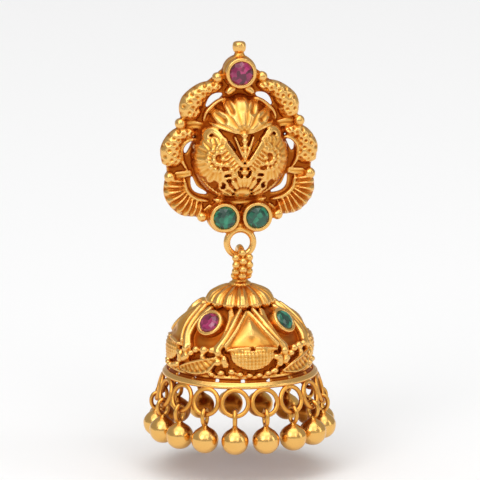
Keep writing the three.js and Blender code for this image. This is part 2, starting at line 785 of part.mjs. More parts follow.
function dropForm() {
  const halfGap = fringeWireRadius + hangClearance + dropWireRadius;
  const loopZ = fringeFootZ + halfGap - dropLoopHalfHeight;
  const ring = new THREE.TorusGeometry(dropLoopHalfHeight, dropWireRadius, wireSides, linkSides);
  const squeeze = halfGap / dropLoopHalfHeight;
  mapVertices(ring, ({ x, y, z }) => {
    const reach = Math.hypot(x, y);
    const wire = reach - dropLoopHalfHeight;
    const [cx, cy] = [x / reach, y / reach];
    return new THREE.Vector3(cx * (dropLoopHalfHeight * squeeze + wire), cy * (dropLoopHalfHeight + wire), z);
  });
  ring.rotateX(Math.PI / 2).rotateZ(Math.PI / 2).translate(0, 0, loopZ);
  const tipZ = loopZ - dropLoopHalfHeight + dropWireRadius / 2;
  const beadZ = tipZ - dropPoint - dropBeadRadius * beadShoulder;
  const bead = beadProfile.map(([r, up]) => [r * dropBeadRadius, beadZ + up * dropBeadRadius]);
  bead.push([dropWireRadius * 0.9, tipZ], [0, tipZ]);
  return joined([solid(ring), solid(turned(bead, linkSides))]);
}

function makeDrops() {
  fringeAngles().forEach((angle, i) => {
    const drop = dropForm().translate(0, -fringeFootRadius, 0).rotate(0, 0, THREE.MathUtils.radToDeg(angle));
    const name = `drop_${String(i + 1).padStart(2, '0')}`;
    addPiece(name, drop.translate(0, hangingPlaneY, 0), brightGold);
  });
}

makeStud();
makeNut();
makeBell();
makeDrops();

export default earring;
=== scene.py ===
import math

import bmesh
import bpy
import numpy as np
from mathutils import Matrix, Vector


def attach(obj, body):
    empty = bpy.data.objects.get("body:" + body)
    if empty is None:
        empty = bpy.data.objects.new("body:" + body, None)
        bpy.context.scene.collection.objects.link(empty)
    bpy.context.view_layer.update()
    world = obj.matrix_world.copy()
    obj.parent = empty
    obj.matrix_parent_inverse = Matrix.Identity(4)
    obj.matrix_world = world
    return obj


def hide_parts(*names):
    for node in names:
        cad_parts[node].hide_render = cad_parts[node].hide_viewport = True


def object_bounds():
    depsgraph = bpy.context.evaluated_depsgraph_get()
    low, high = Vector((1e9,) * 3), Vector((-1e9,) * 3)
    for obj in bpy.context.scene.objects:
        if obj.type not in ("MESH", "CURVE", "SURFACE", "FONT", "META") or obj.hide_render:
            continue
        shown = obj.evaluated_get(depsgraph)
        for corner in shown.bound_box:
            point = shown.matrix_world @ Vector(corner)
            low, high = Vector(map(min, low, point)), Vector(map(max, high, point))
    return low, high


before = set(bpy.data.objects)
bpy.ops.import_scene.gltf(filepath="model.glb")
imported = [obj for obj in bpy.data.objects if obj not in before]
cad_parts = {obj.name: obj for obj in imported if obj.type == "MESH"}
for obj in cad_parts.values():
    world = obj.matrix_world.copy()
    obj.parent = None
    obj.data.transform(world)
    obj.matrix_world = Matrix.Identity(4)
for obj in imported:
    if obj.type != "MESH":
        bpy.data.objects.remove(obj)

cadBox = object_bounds()
mm = 0.001
flat = math.pi * 2

# ---- the camera and the studio stand first, so that every try shows the same view
studio = {
    "azimuth": -10.5, "elevation": 11.0, "distance": 0.42, "fill": 0.86, "floorDrop": 0.0032,
    "floorRadius": 1.6, "paper": (0.95, 0.95, 0.95), "sunStrength": 1.3, "sunAngle": 80, "world": 0.45,
}


def viewVector(azimuth, elevation):
    a, e = math.radians(azimuth), math.radians(elevation)
    return Vector((math.sin(a) * math.cos(e), -math.cos(a) * math.cos(e), math.sin(e)))


def aim(thing, target):
    thing.rotation_mode = "QUATERNION"
    thing.rotation_quaternion = (target - thing.location).to_track_quat("-Z", "Y")


boxLow, boxHigh = cadBox
middle = Vector((0.0, -0.001, (boxLow.z + boxHigh.z) / 2))
cameraData = bpy.data.cameras.new("photoCamera")
camera = bpy.data.objects.new("photoCamera", cameraData)
bpy.context.scene.collection.objects.link(camera)
camera.location = middle + viewVector(studio["azimuth"], studio["elevation"]) * studio["distance"]
aim(camera, middle)
cameraData.sensor_width = 36
frameHeight = (boxHigh.z - boxLow.z) * 1.03 / studio["fill"]
cameraData.lens = 18 / (frameHeight / 2 / studio["distance"])
cameraData.clip_start, cameraData.clip_end = 0.01, 10
bpy.context.scene.camera = camera
bpy.context.scene.view_settings.view_transform = "Standard"


# ---- forms: each is (points in mm, faces), closed, and may run into its neighbours
def curveThrough(path, count, closed=False):
    p = np.array(path, float)
    if closed:
        ends = np.vstack([p[-1:], p, p[:2]])
    else:
        ends = np.vstack([2 * p[:1] - p[1:2], p, 2 * p[-1:] - p[-2:-1]])
    t = np.linspace(0, 1, 24, endpoint=False)[:, None]
    rows = []
    for i in range(1, len(ends) - 2):
        a, b, c, d = ends[i - 1:i + 3]
        rows.append(0.5 * (2 * b + (c - a) * t + (2 * a - 5 * b + 4 * c - d) * t ** 2
                           + (3 * b - a - 3 * c + d) * t ** 3))
    rows.append(ends[-2:-1])
    dense = np.vstack(rows)
    run = np.concatenate([[0], np.cumsum(np.linalg.norm(np.diff(dense, axis=0), axis=1))])
    at = np.linspace(0, run[-1], count + 1)[:-1] if closed else np.linspace(0, run[-1], count)
    return np.stack([np.interp(at, run, dense[:, k]) for k in range(dense.shape[1])], 1)


def ringsForm(rings, closed=False):     # rings of points, skinned one after another
    rows, sides = rings.shape[:2]
    faces = []
    for i in range(rows if closed else rows - 1):
        j = (i + 1) % rows
        for k in range(sides):
            n = (k + 1) % sides
            faces.append((i * sides + k, i * sides + n, j * sides + n, j * sides + k))
    if not closed:
        faces.append(tuple(range(sides))[::-1])
        faces.append(tuple((rows - 1) * sides + k for k in range(sides)))
    return rings.reshape(-1, 3), faces


def tube(path, radius, sides=12, closed=False, count=None, squash=1.0):
    line = curveThrough(path, count or len(path) * 4, closed)
    along = np.roll(line, -1, 0) - np.roll(line, 1, 0) if closed else np.gradient(line, axis=0)
    along /= np.linalg.norm(along, axis=1)[:, None]
    radii = np.interp(np.linspace(0, 1, len(line)), np.linspace(0, 1, np.size(radius)), np.atleast_1d(radius))
    guess = np.array([0.31, 0.83, 0.46])
    if closed:
        guess = np.linalg.svd(line - line.mean(0))[2][2]
    side = np.cross(along, guess)
    side /= np.linalg.norm(side, axis=1)[:, None]
    up = np.cross(side, along)
    turn = np.linspace(0, flat, sides, endpoint=False)
    ring = (np.cos(turn)[None, :, None] * side[:, None] + squash * np.sin(turn)[None, :, None] * up[:, None])
    return ringsForm(line[:, None] + ring * radii[:, None, None], closed)


def lathe(profile, sides=64, flute=None):       # profile of (radius, z), both ends on the axis
    turn = np.linspace(0, flat, sides, endpoint=False)
    rings = []
    for radius, z in profile:
        grow = np.maximum(radius, 0.002) * np.ones(sides)
        if flute is not None:
            grow = grow + flute(turn, radius, z)
        rings.append(np.stack([grow * np.cos(turn), grow * np.sin(turn), np.full(sides, z)], 1))
    return ringsForm(np.array(rings))


def ellipsoid(centre, radii, turn=0.0, rows=12, sides=18):
    a = np.linspace(0.001, math.pi - 0.001, rows)[:, None]
    b = np.linspace(0, flat, sides, endpoint=False)[None]
    x, y, z = np.sin(a) * np.cos(b) * radii[0], np.sin(a) * np.sin(b) * radii[1], np.cos(a) * radii[2] + 0 * b
    c, s = math.cos(turn), math.sin(turn)
    rings = np.stack([x * c - y * s + centre[0], x * s + y * c + centre[1], z + centre[2]], 2)
    return ringsForm(rings)


# a cast bar on a surface: it follows a path in u and v, and w is its height
def bar(path, widths, halfWidth, height, centre=0.0, count=44, sides=20, ends=0.12, ribs=0, ribDepth=0.4,
        ribSlant=0.0, groove=0.0, grooveSpan=(0.0, 1.0), lip=0.0, dots=(), dotRadius=0.13, dotDepth=0.2, blunt=0.75):
    line = curveThrough(path, count)
    along = np.gradient(line, axis=0)
    along /= np.linalg.norm(along, axis=1)[:, None]
    side = np.stack([-along[:, 1], along[:, 0]], 1)
    t = np.linspace(0, 1, count)
    width = np.interp(t, np.linspace(0, 1, len(widths)), widths) * halfWidth
    taper = np.sqrt(np.clip((np.minimum(t, 1 - t) + 0.012) / ends, 0, 1))
    turn = np.linspace(0, flat, sides, endpoint=False)
    s, c = np.cos(turn)[None], np.sin(turn)[None]
    top = c > 0.05
    place = line[:, None] + side[:, None] * (s * (width * taper)[:, None])[:, :, None]
    up = np.sign(c) * np.abs(c) ** blunt * height * taper[:, None]
    if ribs:
        up = up - np.where(top, ribDepth * height * (0.5 + 0.5 * np.cos(flat * (ribs * t[:, None] + ribSlant * s)))
                           * np.clip(np.minimum(t, 1 - t) / 0.06, 0, 1)[:, None], 0)
    if groove:
        a, b = grooveSpan
        span = np.clip(np.minimum(t - a, b - t) / 0.08, 0, 1)[:, None]
        up = up - np.where(top, groove * height * span * np.exp(-(s / 0.42) ** 2), 0)
    if lip:
        up = up + np.where(top, lip * height * taper[:, None] * np.exp(-((np.abs(s) - 0.82) / 0.16) ** 2), 0)
    for at, off in dots:
        spot = [np.interp(at, t, (line[:, k] + side[:, k] * width * off)) for k in range(2)]
        away = (place[:, :, 0] - spot[0]) ** 2 + (place[:, :, 1] - spot[1]) ** 2
        up = up - np.where(top, dotDepth * np.exp(-away / dotRadius ** 2), 0)
    rings = np.concatenate([place, (centre + up + 0 * s)[:, :, None]], 2)
    return ringsForm(rings)


def prism(outline, low, high):
    p = np.array(outline, float)
    n = len(p)
    points = np.vstack([np.column_stack([p, np.full(n, low)]), np.column_stack([p, np.full(n, high)])])
    faces = [tuple(range(n))[::-1], tuple(range(n, 2 * n))]
    faces += [(i, (i + 1) % n, n + (i + 1) % n, n + i) for i in range(n)]
    return points, faces


def moved(form, toPlace):
    return toPlace(form[0]), form[1]


# ---- from forms to meshes
def meshFrom(name, forms, scale=1.0):
    points, faces, start = [], [], 0
    for verts, polys in forms:
        points.append(verts)
        faces += [tuple(start + i for i in poly) for poly in polys]
        start += len(verts)
    mesh = bpy.data.meshes.new(name)
    mesh.from_pydata((np.vstack(points) * scale).tolist(), [], faces)
    mesh.update()
    return mesh


def evaluatedMesh(thing):
    bpy.context.view_layer.update()
    graph = bpy.context.evaluated_depsgraph_get()
    return bpy.data.meshes.new_from_object(thing.evaluated_get(graph))


def link(name, mesh):
    thing = bpy.data.objects.new(name, mesh)
    bpy.context.scene.collection.objects.link(thing)
    return thing


def drop(thing):
    mesh = thing.data
    bpy.data.objects.remove(thing)
    if mesh.users == 0:
        bpy.data.meshes.remove(mesh)


def outward(mesh, merge=0.0):
    bm = bmesh.new()
    bm.from_mesh(mesh)
    if merge:
        bmesh.ops.remove_doubles(bm, verts=bm.verts, dist=merge)
    bmesh.ops.recalc_face_normals(bm, faces=bm.faces)
    bm.to_mesh(mesh)
    bm.free()


def smoothed(points, edges, rounds, weight=0.5):
    a, b = edges[:, 0], edges[:, 1]
    count = len(points)
    degree = np.maximum(np.bincount(a, minlength=count) + np.bincount(b, minlength=count), 1)[:, None]
    for _ in range(rounds):
        total = np.stack([np.bincount(a, points[b, k], count) + np.bincount(b, points[a, k], count)
                          for k in range(3)], 1)
        points = points + weight * (total / degree - points)
    return points


def readMesh(mesh):
    points = np.empty(len(mesh.vertices) * 3)
    mesh.vertices.foreach_get("co", points)
    normals = np.empty(len(mesh.vertices) * 3)
    mesh.vertices.foreach_get("normal", normals)
    edges = np.empty(len(mesh.edges) * 2, int)
    mesh.edges.foreach_get("vertices", edges)
    return points.reshape(-1, 3), normals.reshape(-1, 3), edges.reshape(-1, 2)


def setRecessShade(mesh, values):
    layer = mesh.attributes.new("recessShade", "FLOAT", "POINT")
    layer.data.foreach_set("value", np.clip(values, 0, 1).astype(np.float32))


mostTriangles = 194000


# voxel-joined casting: the forms become one skin, softened a little, every hollow is darkened with painted shade,
# and faces that a flat place doesn't need are merged
def castForms(name, forms, voxel, heightOver=None, soften=1, wide=90, wideDepth=0.16, fineDepth=0.03):
    rough = link(name + "Rough", meshFrom(name + "Rough", forms))
    skin = rough.modifiers.new("skin", "REMESH")
    skin.mode, skin.voxel_size, skin.adaptivity = "VOXEL", voxel, 0.0
    mesh = evaluatedMesh(rough)
    drop(rough)
    mesh.name = name
    points, normals, edges = readMesh(mesh)
    points = smoothed(points, edges, soften)
    mesh.vertices.foreach_set("co", points.ravel())
    mesh.update()
    points, normals, edges = readMesh(mesh)
    # fine and broad hollows make painted shade: darker in creases and on low ground, lighter on ridges
    fine = ((smoothed(points, edges, 7) - points) * normals).sum(1)
    broad = ((smoothed(points, edges, wide) - points) * normals).sum(1)
    shade = 0.36 + 0.26 * np.clip(fine / fineDepth, -1, 1) + 0.5 * np.clip(broad / wideDepth, -0.8, 1.1)
    # places where heightOver is small, the bare ground and the walls it marks, get more painted shade
    if heightOver is not None:
        shade = shade + 0.5 * np.clip(1.3 - np.abs(heightOver(points)) / 0.2, 0, 1)
    setRecessShade(mesh, shade)
    dense = link(name + "Dense", mesh)
    thin = dense.modifiers.new("thin", "DECIMATE")
    thin.ratio = min(1, mostTriangles / (2 * len(mesh.polygons)))
    mesh = evaluatedMesh(dense)
    drop(dense)
    mesh.name = name
    points = readMesh(mesh)[0]
    mesh.vertices.foreach_set("co", (points * mm).ravel())
    mesh.update()
    mesh.shade_smooth()
    print("cast", name, len(mesh.polygons), "faces")
    return link(name, mesh)


# ---- Geometry Nodes: copies of one piece round the bell's axis
def roundTree(name):
    tree = bpy.data.node_groups.new(name, "GeometryNodeTree")
    face = tree.interface
    face.new_socket("Geometry", in_out="INPUT", socket_type="NodeSocketGeometry")
    for label, kind in (("Copies", "NodeSocketInt"), ("First angle", "NodeSocketFloat"),
                        ("Unevenness", "NodeSocketFloat"), ("Axis place", "NodeSocketVector"),
                        ("Seed", "NodeSocketInt"), ("Finish", "NodeSocketMaterial")):
        face.new_socket(label, in_out="INPUT", socket_type=kind)
    face.new_socket("Geometry", in_out="OUTPUT", socket_type="NodeSocketGeometry")
    node = tree.nodes.new
    given, made = node("NodeGroupInput"), node("NodeGroupOutput")
    spots, spread, real = node("GeometryNodePoints"), node("GeometryNodeInstanceOnPoints"), node(
        "GeometryNodeRealizeInstances")
    index, wobble, turn = node("GeometryNodeInputIndex"), node("FunctionNodeRandomValue"), node("ShaderNodeCombineXYZ")
    step, angle, first, total = (node("ShaderNodeMath") for _ in range(4))
    step.operation, angle.operation, first.operation, total.operation = "DIVIDE", "MULTIPLY", "ADD", "ADD"
    step.inputs[0].default_value = flat
    shift, paint, low = node("GeometryNodeTransform"), node("GeometryNodeSetMaterial"), node("ShaderNodeMath")
    low.operation = "MULTIPLY"
    low.inputs[1].default_value = -1
    wobble.data_type = "FLOAT"
    join = tree.links.new
    join(given.outputs["Copies"], spots.inputs["Count"])
    join(given.outputs["Copies"], step.inputs[1])
    join(index.outputs[0], angle.inputs[0])
    join(step.outputs[0], angle.inputs[1])
    join(angle.outputs[0], first.inputs[0])
    join(given.outputs["First angle"], first.inputs[1])
    join(given.outputs["Unevenness"], low.inputs[0])
    floats = [s for s in wobble.inputs if s.enabled and s.type == "VALUE"]
    join(low.outputs[0], floats[0])
    join(given.outputs["Unevenness"], floats[1])
    join(given.outputs["Seed"], wobble.inputs["Seed"])
    join(first.outputs[0], total.inputs[0])
    join([s for s in wobble.outputs if s.enabled][0], total.inputs[1])
    join(total.outputs[0], turn.inputs["Z"])
    join(spots.outputs[0], spread.inputs["Points"])
    join(given.outputs["Geometry"], spread.inputs["Instance"])
    join(turn.outputs[0], spread.inputs["Rotation"])
    join(spread.outputs[0], real.inputs[0])
    join(real.outputs[0], shift.inputs["Geometry"])
    join(given.outputs["Axis place"], shift.inputs["Translation"])
    join(shift.outputs[0], paint.inputs["Geometry"])
    join(given.outputs["Finish"], paint.inputs["Material"])
    join(paint.outputs[0], made.inputs[0])
    return tree


ringOfCopies = roundTree("ringOfCopies")


def copiesRound(name, mesh, finish, copies, firstAngle=0.0, unevenness=0.0, place=(0, 0, 0), seed=3):
    one = link(name, mesh)
    spread = one.modifiers.new("copies", "NODES")
    spread.node_group = ringOfCopies
    values = {"Copies": copies, "First angle": firstAngle, "Unevenness": unevenness, "Axis place": place,
              "Seed": seed, "Finish": finish}
    for item in ringOfCopies.interface.items_tree:
        if item.item_type == "SOCKET" and item.in_out == "INPUT" and item.name in values:
            spread[item.identifier] = values[item.name]
    result = evaluatedMesh(one)
    one.modifiers.clear()
    drop(one)
    result.name = name
    return result


# ---- finishes
def goldFinish(name, tones, rough=(0.26, 0.5), grain=0.0003, bump=0.25, scratch=0.2):
    material = bpy.data.materials.new(name)
    material.use_nodes = True
    tree = material.node_tree
    node, join = tree.nodes.new, tree.links.new
    shader = tree.nodes["Principled BSDF"]
    shader.inputs["Metallic"].default_value = 1.0
    where = node("ShaderNodeTexCoord")
    depth = node("ShaderNodeAttribute")
    depth.attribute_name = "recessShade"
    cloud, fine, lines = node("ShaderNodeTexNoise"), node("ShaderNodeTexNoise"), node("ShaderNodeTexNoise")
    cloud.inputs["Scale"].default_value = 420
    cloud.inputs["Detail"].default_value = 3
    fine.inputs["Scale"].default_value = 1 / grain
    fine.inputs["Detail"].default_value = 4
    stretch = node("ShaderNodeMapping")
    stretch.inputs["Scale"].default_value = (0.25, 1.0, 1.6)
    lines.inputs["Scale"].default_value = 5200
    for texture in (cloud, fine):
        join(where.outputs["Object"], texture.inputs["Vector"])
    join(where.outputs["Object"], stretch.inputs["Vector"])
    join(stretch.outputs[0], lines.inputs["Vector"])
    stain = node("ShaderNodeMath")
    stain.operation = "MULTIPLY_ADD"
    join(cloud.outputs["Fac"], stain.inputs[0])
    stain.inputs[1].default_value = 0.3
    stain.inputs[2].default_value = -0.15
    level = node("ShaderNodeMath")
    level.operation = "ADD"
    level.use_clamp = True
    join(depth.outputs["Fac"], level.inputs[0])
    join(stain.outputs[0], level.inputs[1])
    # base colour from the shade level: lit gold on the ridges, painted shade in the hollows; the cloud noise adds a
    # random stain tone
    ramp = node("ShaderNodeValToRGB")
    ramp.color_ramp.interpolation = "EASE"
    while len(ramp.color_ramp.elements) < len(tones):
        ramp.color_ramp.elements.new(0.5)
    for stop, (at, colour) in zip(ramp.color_ramp.elements, tones):
        stop.position = at
        stop.color = (*colour, 1)
    join(level.outputs[0], ramp.inputs[0])
    join(ramp.outputs[0], shader.inputs["Base Color"])
    spread = node("ShaderNodeMapRange")
    spread.inputs["To Min"].default_value, spread.inputs["To Max"].default_value = rough
    join(level.outputs[0], spread.inputs["Value"])
    join(spread.outputs[0], shader.inputs["Roughness"])
    skin, marks = node("ShaderNodeBump"), node("ShaderNodeBump")
    skin.inputs["Strength"].default_value = bump
    skin.inputs["Distance"].default_value = 0.00006
    marks.inputs["Strength"].default_value = scratch
    marks.inputs["Distance"].default_value = 0.00002
    join(fine.outputs["Fac"], skin.inputs["Height"])
    join(lines.outputs["Fac"], marks.inputs["Height"])
    join(skin.outputs[0], marks.inputs["Normal"])
    join(marks.outputs[0], shader.inputs["Normal"])
    return material


# tones run from lit gold at 0 to painted shade at 1
castTones = [(0.0, (0.87, 0.5, 0.15)), (0.35, (0.78, 0.37, 0.07)), (0.62, (0.6, 0.21, 0.028)),
             (1.0, (0.4, 0.095, 0.008))]
brightTones = [(0.0, (0.88, 0.53, 0.17)), (0.45, (0.8, 0.42, 0.09)), (1.0, (0.45, 0.14, 0.015))]
castGold = goldFinish("castGold", castTones)
brightGold = goldFinish("brightGold", brightTones, rough=(0.22, 0.36), bump=0.12, scratch=0.14)
beadGold = goldFinish("beadGold", brightTones, rough=(0.2, 0.34), grain=0.0009, bump=0.5, scratch=0.14)
darkThread = goldFinish("darkThread", [(0.0, (0.42, 0.15, 0.025)), (0.5, (0.26, 0.07, 0.01)),
                                       (1.0, (0.12, 0.03, 0.005))], rough=(0.3, 0.5))


def stoneFinish(name, deep, lit, glint):
    material = bpy.data.materials.new(name)
    material.use_nodes = True
    tree = material.node_tree
    node, join = tree.nodes.new, tree.links.new
    shader = tree.nodes["Principled BSDF"]
    shader.inputs["Roughness"].default_value = 0.2
    shader.inputs["IOR"].default_value = 1.6
    shader.inputs["Coat Weight"].default_value = 0.2
    shader.inputs["Coat Roughness"].default_value = 0.08
    where, cells, cloud = node("ShaderNodeTexCoord"), node("ShaderNodeTexVoronoi"), node("ShaderNodeTexNoise")
    cells.inputs["Scale"].default_value = 2100
    cloud.inputs["Scale"].default_value = 900
    cloud.inputs["Detail"].default_value = 3
    join(where.outputs["Object"], cells.inputs["Vector"])
    join(where.outputs["Object"], cloud.inputs["Vector"])
    share = node("ShaderNodeSeparateColor")
    join(cells.outputs["Color"], share.inputs[0])
    both = node("ShaderNodeMath")
    both.operation = "MULTIPLY"
    join(share.outputs[0], both.inputs[0])
    join(cloud.outputs["Fac"], both.inputs[1])
    # the base colour paints lit patches and glints on the facets from cells and noise: painted reflections over the
    # stone's deep colour
    ramp = node("ShaderNodeValToRGB")
    ramp.color_ramp.elements.new(0.5)
    for stop, (at, colour) in zip(ramp.color_ramp.elements, ((0.05, deep), (0.32, lit), (0.62, glint))):
        stop.position = at
        stop.color = (*colour, 1)
    join(both.outputs[0], ramp.inputs[0])
    join(ramp.outputs[0], shader.inputs["Base Color"])
    return material


rubyGlass = stoneFinish("rubyGlass", (0.08, 0.0008, 0.02), (0.26, 0.005, 0.07), (0.44, 0.03, 0.14))
emeraldGlass = stoneFinish("emeraldGlass", (0.001, 0.026, 0.014), (0.003, 0.11, 0.055), (0.02, 0.26, 0.14))


def settle(thing, body, material, slot, *nodes):
    thing.data.materials.clear()
    thing.data.materials.append(material)
    for face in thing.data.polygons:
        face.material_index = 0
    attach(thing, body)
    if nodes:
        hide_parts(*nodes)
    return thing


# ---- stud
stud = {
    "halfWidth": 7.7, "halfHeight": 8.0, "plate": 0.6, "domeHalfWidth": 4.7, "domeTop": 5.7, "domeBottom": 4.5,
    "domeCentreZ": -0.6, "crown": 3.4, "voxel": 0.088, "crescentHalfWidth": 1.02, "crescentHeight": 0.95,
    "granule": 0.55, "relief": 0.42, "sink": 0.26, "shoulder": 1.72,
}


def domeDepth(x, z):
    reach = np.where(z > stud["domeCentreZ"], stud["domeTop"], stud["domeBottom"])
    power = np.where(z > stud["domeCentreZ"], stud["shoulder"], 2)
    edge = 1 - np.abs(x / stud["domeHalfWidth"]) ** power - np.abs((z - stud["domeCentreZ"]) / reach) ** power
    half = stud["plate"] / 2
    return half + (stud["crown"] - half) * np.clip(edge, 0, 1) ** 0.45


def groundDepth(x, z):        # the bare ground between the relief lies a little deeper
    depth = domeDepth(x, z)
    return depth - stud["sink"] * np.clip((depth - stud["plate"]) / 0.7, 0, 1)


# height over the stud's bare ground, for painted shade there; the plate's side and slot walls are set low so they get
# painted shade too
def overStudGround(p):
    height = -p[:, 1] - np.maximum(stud["plate"], groundDepth(p[:, 0], p[:, 2]))
    return np.where((p[:, 1] < -0.08) & (p[:, 1] > -0.5), 0.12, height)


def onPlaque(p):        # nothing passes the flat back
    return np.stack([p[:, 0], -np.maximum(p[:, 2], 0.02), p[:, 1]], 1)


def onMedallion(p):
    return np.stack([p[:, 0], -np.maximum(p[:, 2], -0.32) - domeDepth(p[:, 0], p[:, 1]), p[:, 1]], 1)


def flip(path, side):
    return [(x * side, z) for x, z in path]


plateOutline = [
    (0, 8.16), (1.31, 7.68), (2.39, 6.88), (4.24, 5.28), (5.24, 3.68), (5.7, 2.24), (6.93, 0.64), (6.93, -2.4),
    (6.62, -4.16), (5.24, -5.84), (3.54, -6.64), (1.54, -7.52), (0, -7.68),
]
slotShapes = [       # path, half width, and how far the cut leans out and down for each mm of depth
    ([(1.6, 5.15), (2.4, 4.75), (3.15, 3.95)], 0.4, 0, 0), ([(4.35, 1.2), (4.95, 0.5), (5.2, -0.48)], 0.33, 0, 0),
    ([(0.7, -0.28), (1.05, 0.42), (1.43, 1.15)], 0.22, 0.185, 0.19), ([(4.62, -2.72), (4.2, -3.92), (2.9, -4.48)], 0.27, 0, 0),
]


def lensOutline(path, halfWidth, grow=0.0, count=14):
    line = curveThrough(path, count)
    along = np.gradient(line, axis=0)
    along /= np.linalg.norm(along, axis=1)[:, None]
    side = np.stack([-along[:, 1], along[:, 0]], 1)
    half = halfWidth * (0.3 + 0.7 * np.sin(np.pi * np.linspace(0, 1, count))) + grow
    return np.vstack([line - side * half[:, None], (line + side * half[:, None])[::-1]])


def studGround():
    right = plateOutline
    left = [(-x, z) for x, z in right[1:-1]][::-1]
    outline = curveThrough(right + left, 200, closed=True)
    plate = moved(prism(outline[::-1], 0.0, stud["plate"]), onPlaque)
    rows = []
    for a in np.linspace(0.02, math.pi - 0.02, 40):
        b = np.linspace(0, flat, 72, endpoint=False)
        u, v, w = np.sin(a) * np.cos(b), np.sin(a) * np.sin(b), math.cos(a)
        power = 2 / np.where(v > 0, stud["shoulder"], 2)
        x = np.sign(u) * np.abs(u) ** power * stud["domeHalfWidth"]
        z = stud["domeCentreZ"] + np.sign(v) * np.abs(v) ** power * np.where(v > 0, stud["domeTop"], stud["domeBottom"])
        y = -groundDepth(x, z) if w > 0 else np.full(72, -0.05)
        rows.append(np.stack([x, y, z], 1))
    ground = link("studGround", meshFrom("studGround", [plate, ringsForm(np.array(rows))]))
    outward(ground.data)
    cutters = []
    for side in (-1, 1):
        for path, half, out, down in slotShapes:
            points, faces = prism(lensOutline(flip(path, side), half), -3, 9)
            points = points + (stud["crown"] - points[:, 2:]) * np.array([out * side, -down, 0])
            cutters.append((np.stack([points[:, 0], -points[:, 2], points[:, 1]], 1), faces))
    cutter = link("studSlots", meshFrom("studSlots", cutters))
    outward(cutter.data)
    merge = ground.modifiers.new("slots", "BOOLEAN")
    merge.operation, merge.solver, merge.object, merge.use_self = "DIFFERENCE", "EXACT", cutter, True
    mesh = evaluatedMesh(ground)
    points, _, _ = readMesh(mesh)
    faces = [tuple(face.vertices) for face in mesh.polygons]
    drop(ground)
    drop(cutter)
    bpy.data.meshes.remove(mesh)
    return points, faces


def petalBar(hub, tip, halfWidth, start=0.25, relief=1.0, groove=0.55, span=(0.5, 0.95)):
    hub, tip = np.array(hub, float), np.array(tip, float)
    spots = [hub + (tip - hub) * t for t in (start, (1 + start) / 2, 1)]
    return bar(spots, [0.32, 0.75, 1.0, 0.85], halfWidth, stud["relief"] * relief, groove=groove, grooveSpan=span,
               ends=0.2, count=34)


def spiral(x, z, radius, turns, start, side):
    t = np.linspace(0, 1, 16)
    a = start + flat * turns * t
    r = radius * (1 - 0.78 * t)
    return [(side * (x + rr * math.cos(aa)), z + rr * math.sin(aa)) for rr, aa in zip(r, a)]


pits = [
    (0.1, 0.1), (0.17, -0.45), (0.2, 0.4), (0.24, 0.86), (0.27, -0.05), (0.3, -0.86), (0.32, -0.5), (0.34, 0.5),
    (0.38, 0.9), (0.41, 0.15), (0.44, -0.4), (0.45, -0.9), (0.49, 0.65), (0.53, -0.05), (0.55, 0.93), (0.56, -0.6),
    (0.6, 0.38), (0.62, -0.93), (0.66, -0.3), (0.67, 0.75), (0.73, 0.12), (0.75, -0.7), (0.79, 0.93), (0.8, 0.5),
    (0.82, -0.93), (0.83, -0.2), (0.89, 0.2), (0.9, -0.55)]
crescent = {"height": 0.95, "centre": 0.52, "blunt": 0.9, "count": 84, "sides": 36, "dotRadius": 0.13, "dotDepth": 0.34}
border = {"widths": [0.7, 1, 1, 0.7], "halfWidth": 0.2, "height": 0.42, "centre": 0.72, "count": 40, "sides": 12}
strap = {"widths": [0.8, 1, 0.9], "halfWidth": 0.42, "height": 0.42, "centre": 0.6, "groove": 0.5, "count": 30,
         "sides": 20}
plaqueBars = [
    {**crescent, "path": [(1.65, 6.08), (3.5, 5.52), (4.7, 4.1), (4.45, 2.75)], "widths": [0.34, 0.68, 1.0, 0.9],
     "halfWidth": 1.1, "dots": pits},
    {**crescent, "path": [(4.2, 1.62), (5.75, 1.3), (6.5, 0.05), (6.3, -1.7)], "widths": [0.34, 0.7, 1.0, 0.95],
     "halfWidth": 1.1, "dots": pits},
    {**crescent, "path": [(6.2, -2.7), (6.2, -4.2), (5.3, -5.35), (3.6, -6.02)], "widths": [0.85, 1.0, 1.0, 0.62],
     "halfWidth": 1.1, "ribs": 9, "ribDepth": 0.42, "count": 110, "ends": 0.08},
    {**border, "path": [(1.35, 4.85), (2.25, 4.4), (3.2, 3.5), (3.5, 2.6)]},
    {**border, "path": [(4.1, 0.95), (5.05, 0.75), (5.6, 0), (5.5, -1.2), (5.0, -2.1)]},
    {**border, "path": [(5.35, -2.8), (5.1, -4.0), (4.2, -4.8), (2.9, -5.1)]},
    {**strap, "path": [(3.5, 2.15), (4.4, 2.3), (5.4, 2.2)]},
    {**strap, "path": [(4.55, -2.25), (5.3, -2.42), (6.3, -2.45)], "halfWidth": 0.36},
    {**strap, "path": [(2.7, -5.5), (3.1, -5.9), (3.5, -6.3)], "halfWidth": 0.3},
    {"path": [(0.42, 5.75), (0.85, 5.6), (1.3, 5.2)], "widths": [0.7, 1, 0.7], "halfWidth": 0.4, "height": 0.5,
     "centre": 0.85, "count": 30, "sides": 16},
]
granules = [(2.14, 6.77, 0.95), (5.72, 2.45, 1.0), (6.76, -2.66, 1.0), (3.64, -6.56, 0.95)]
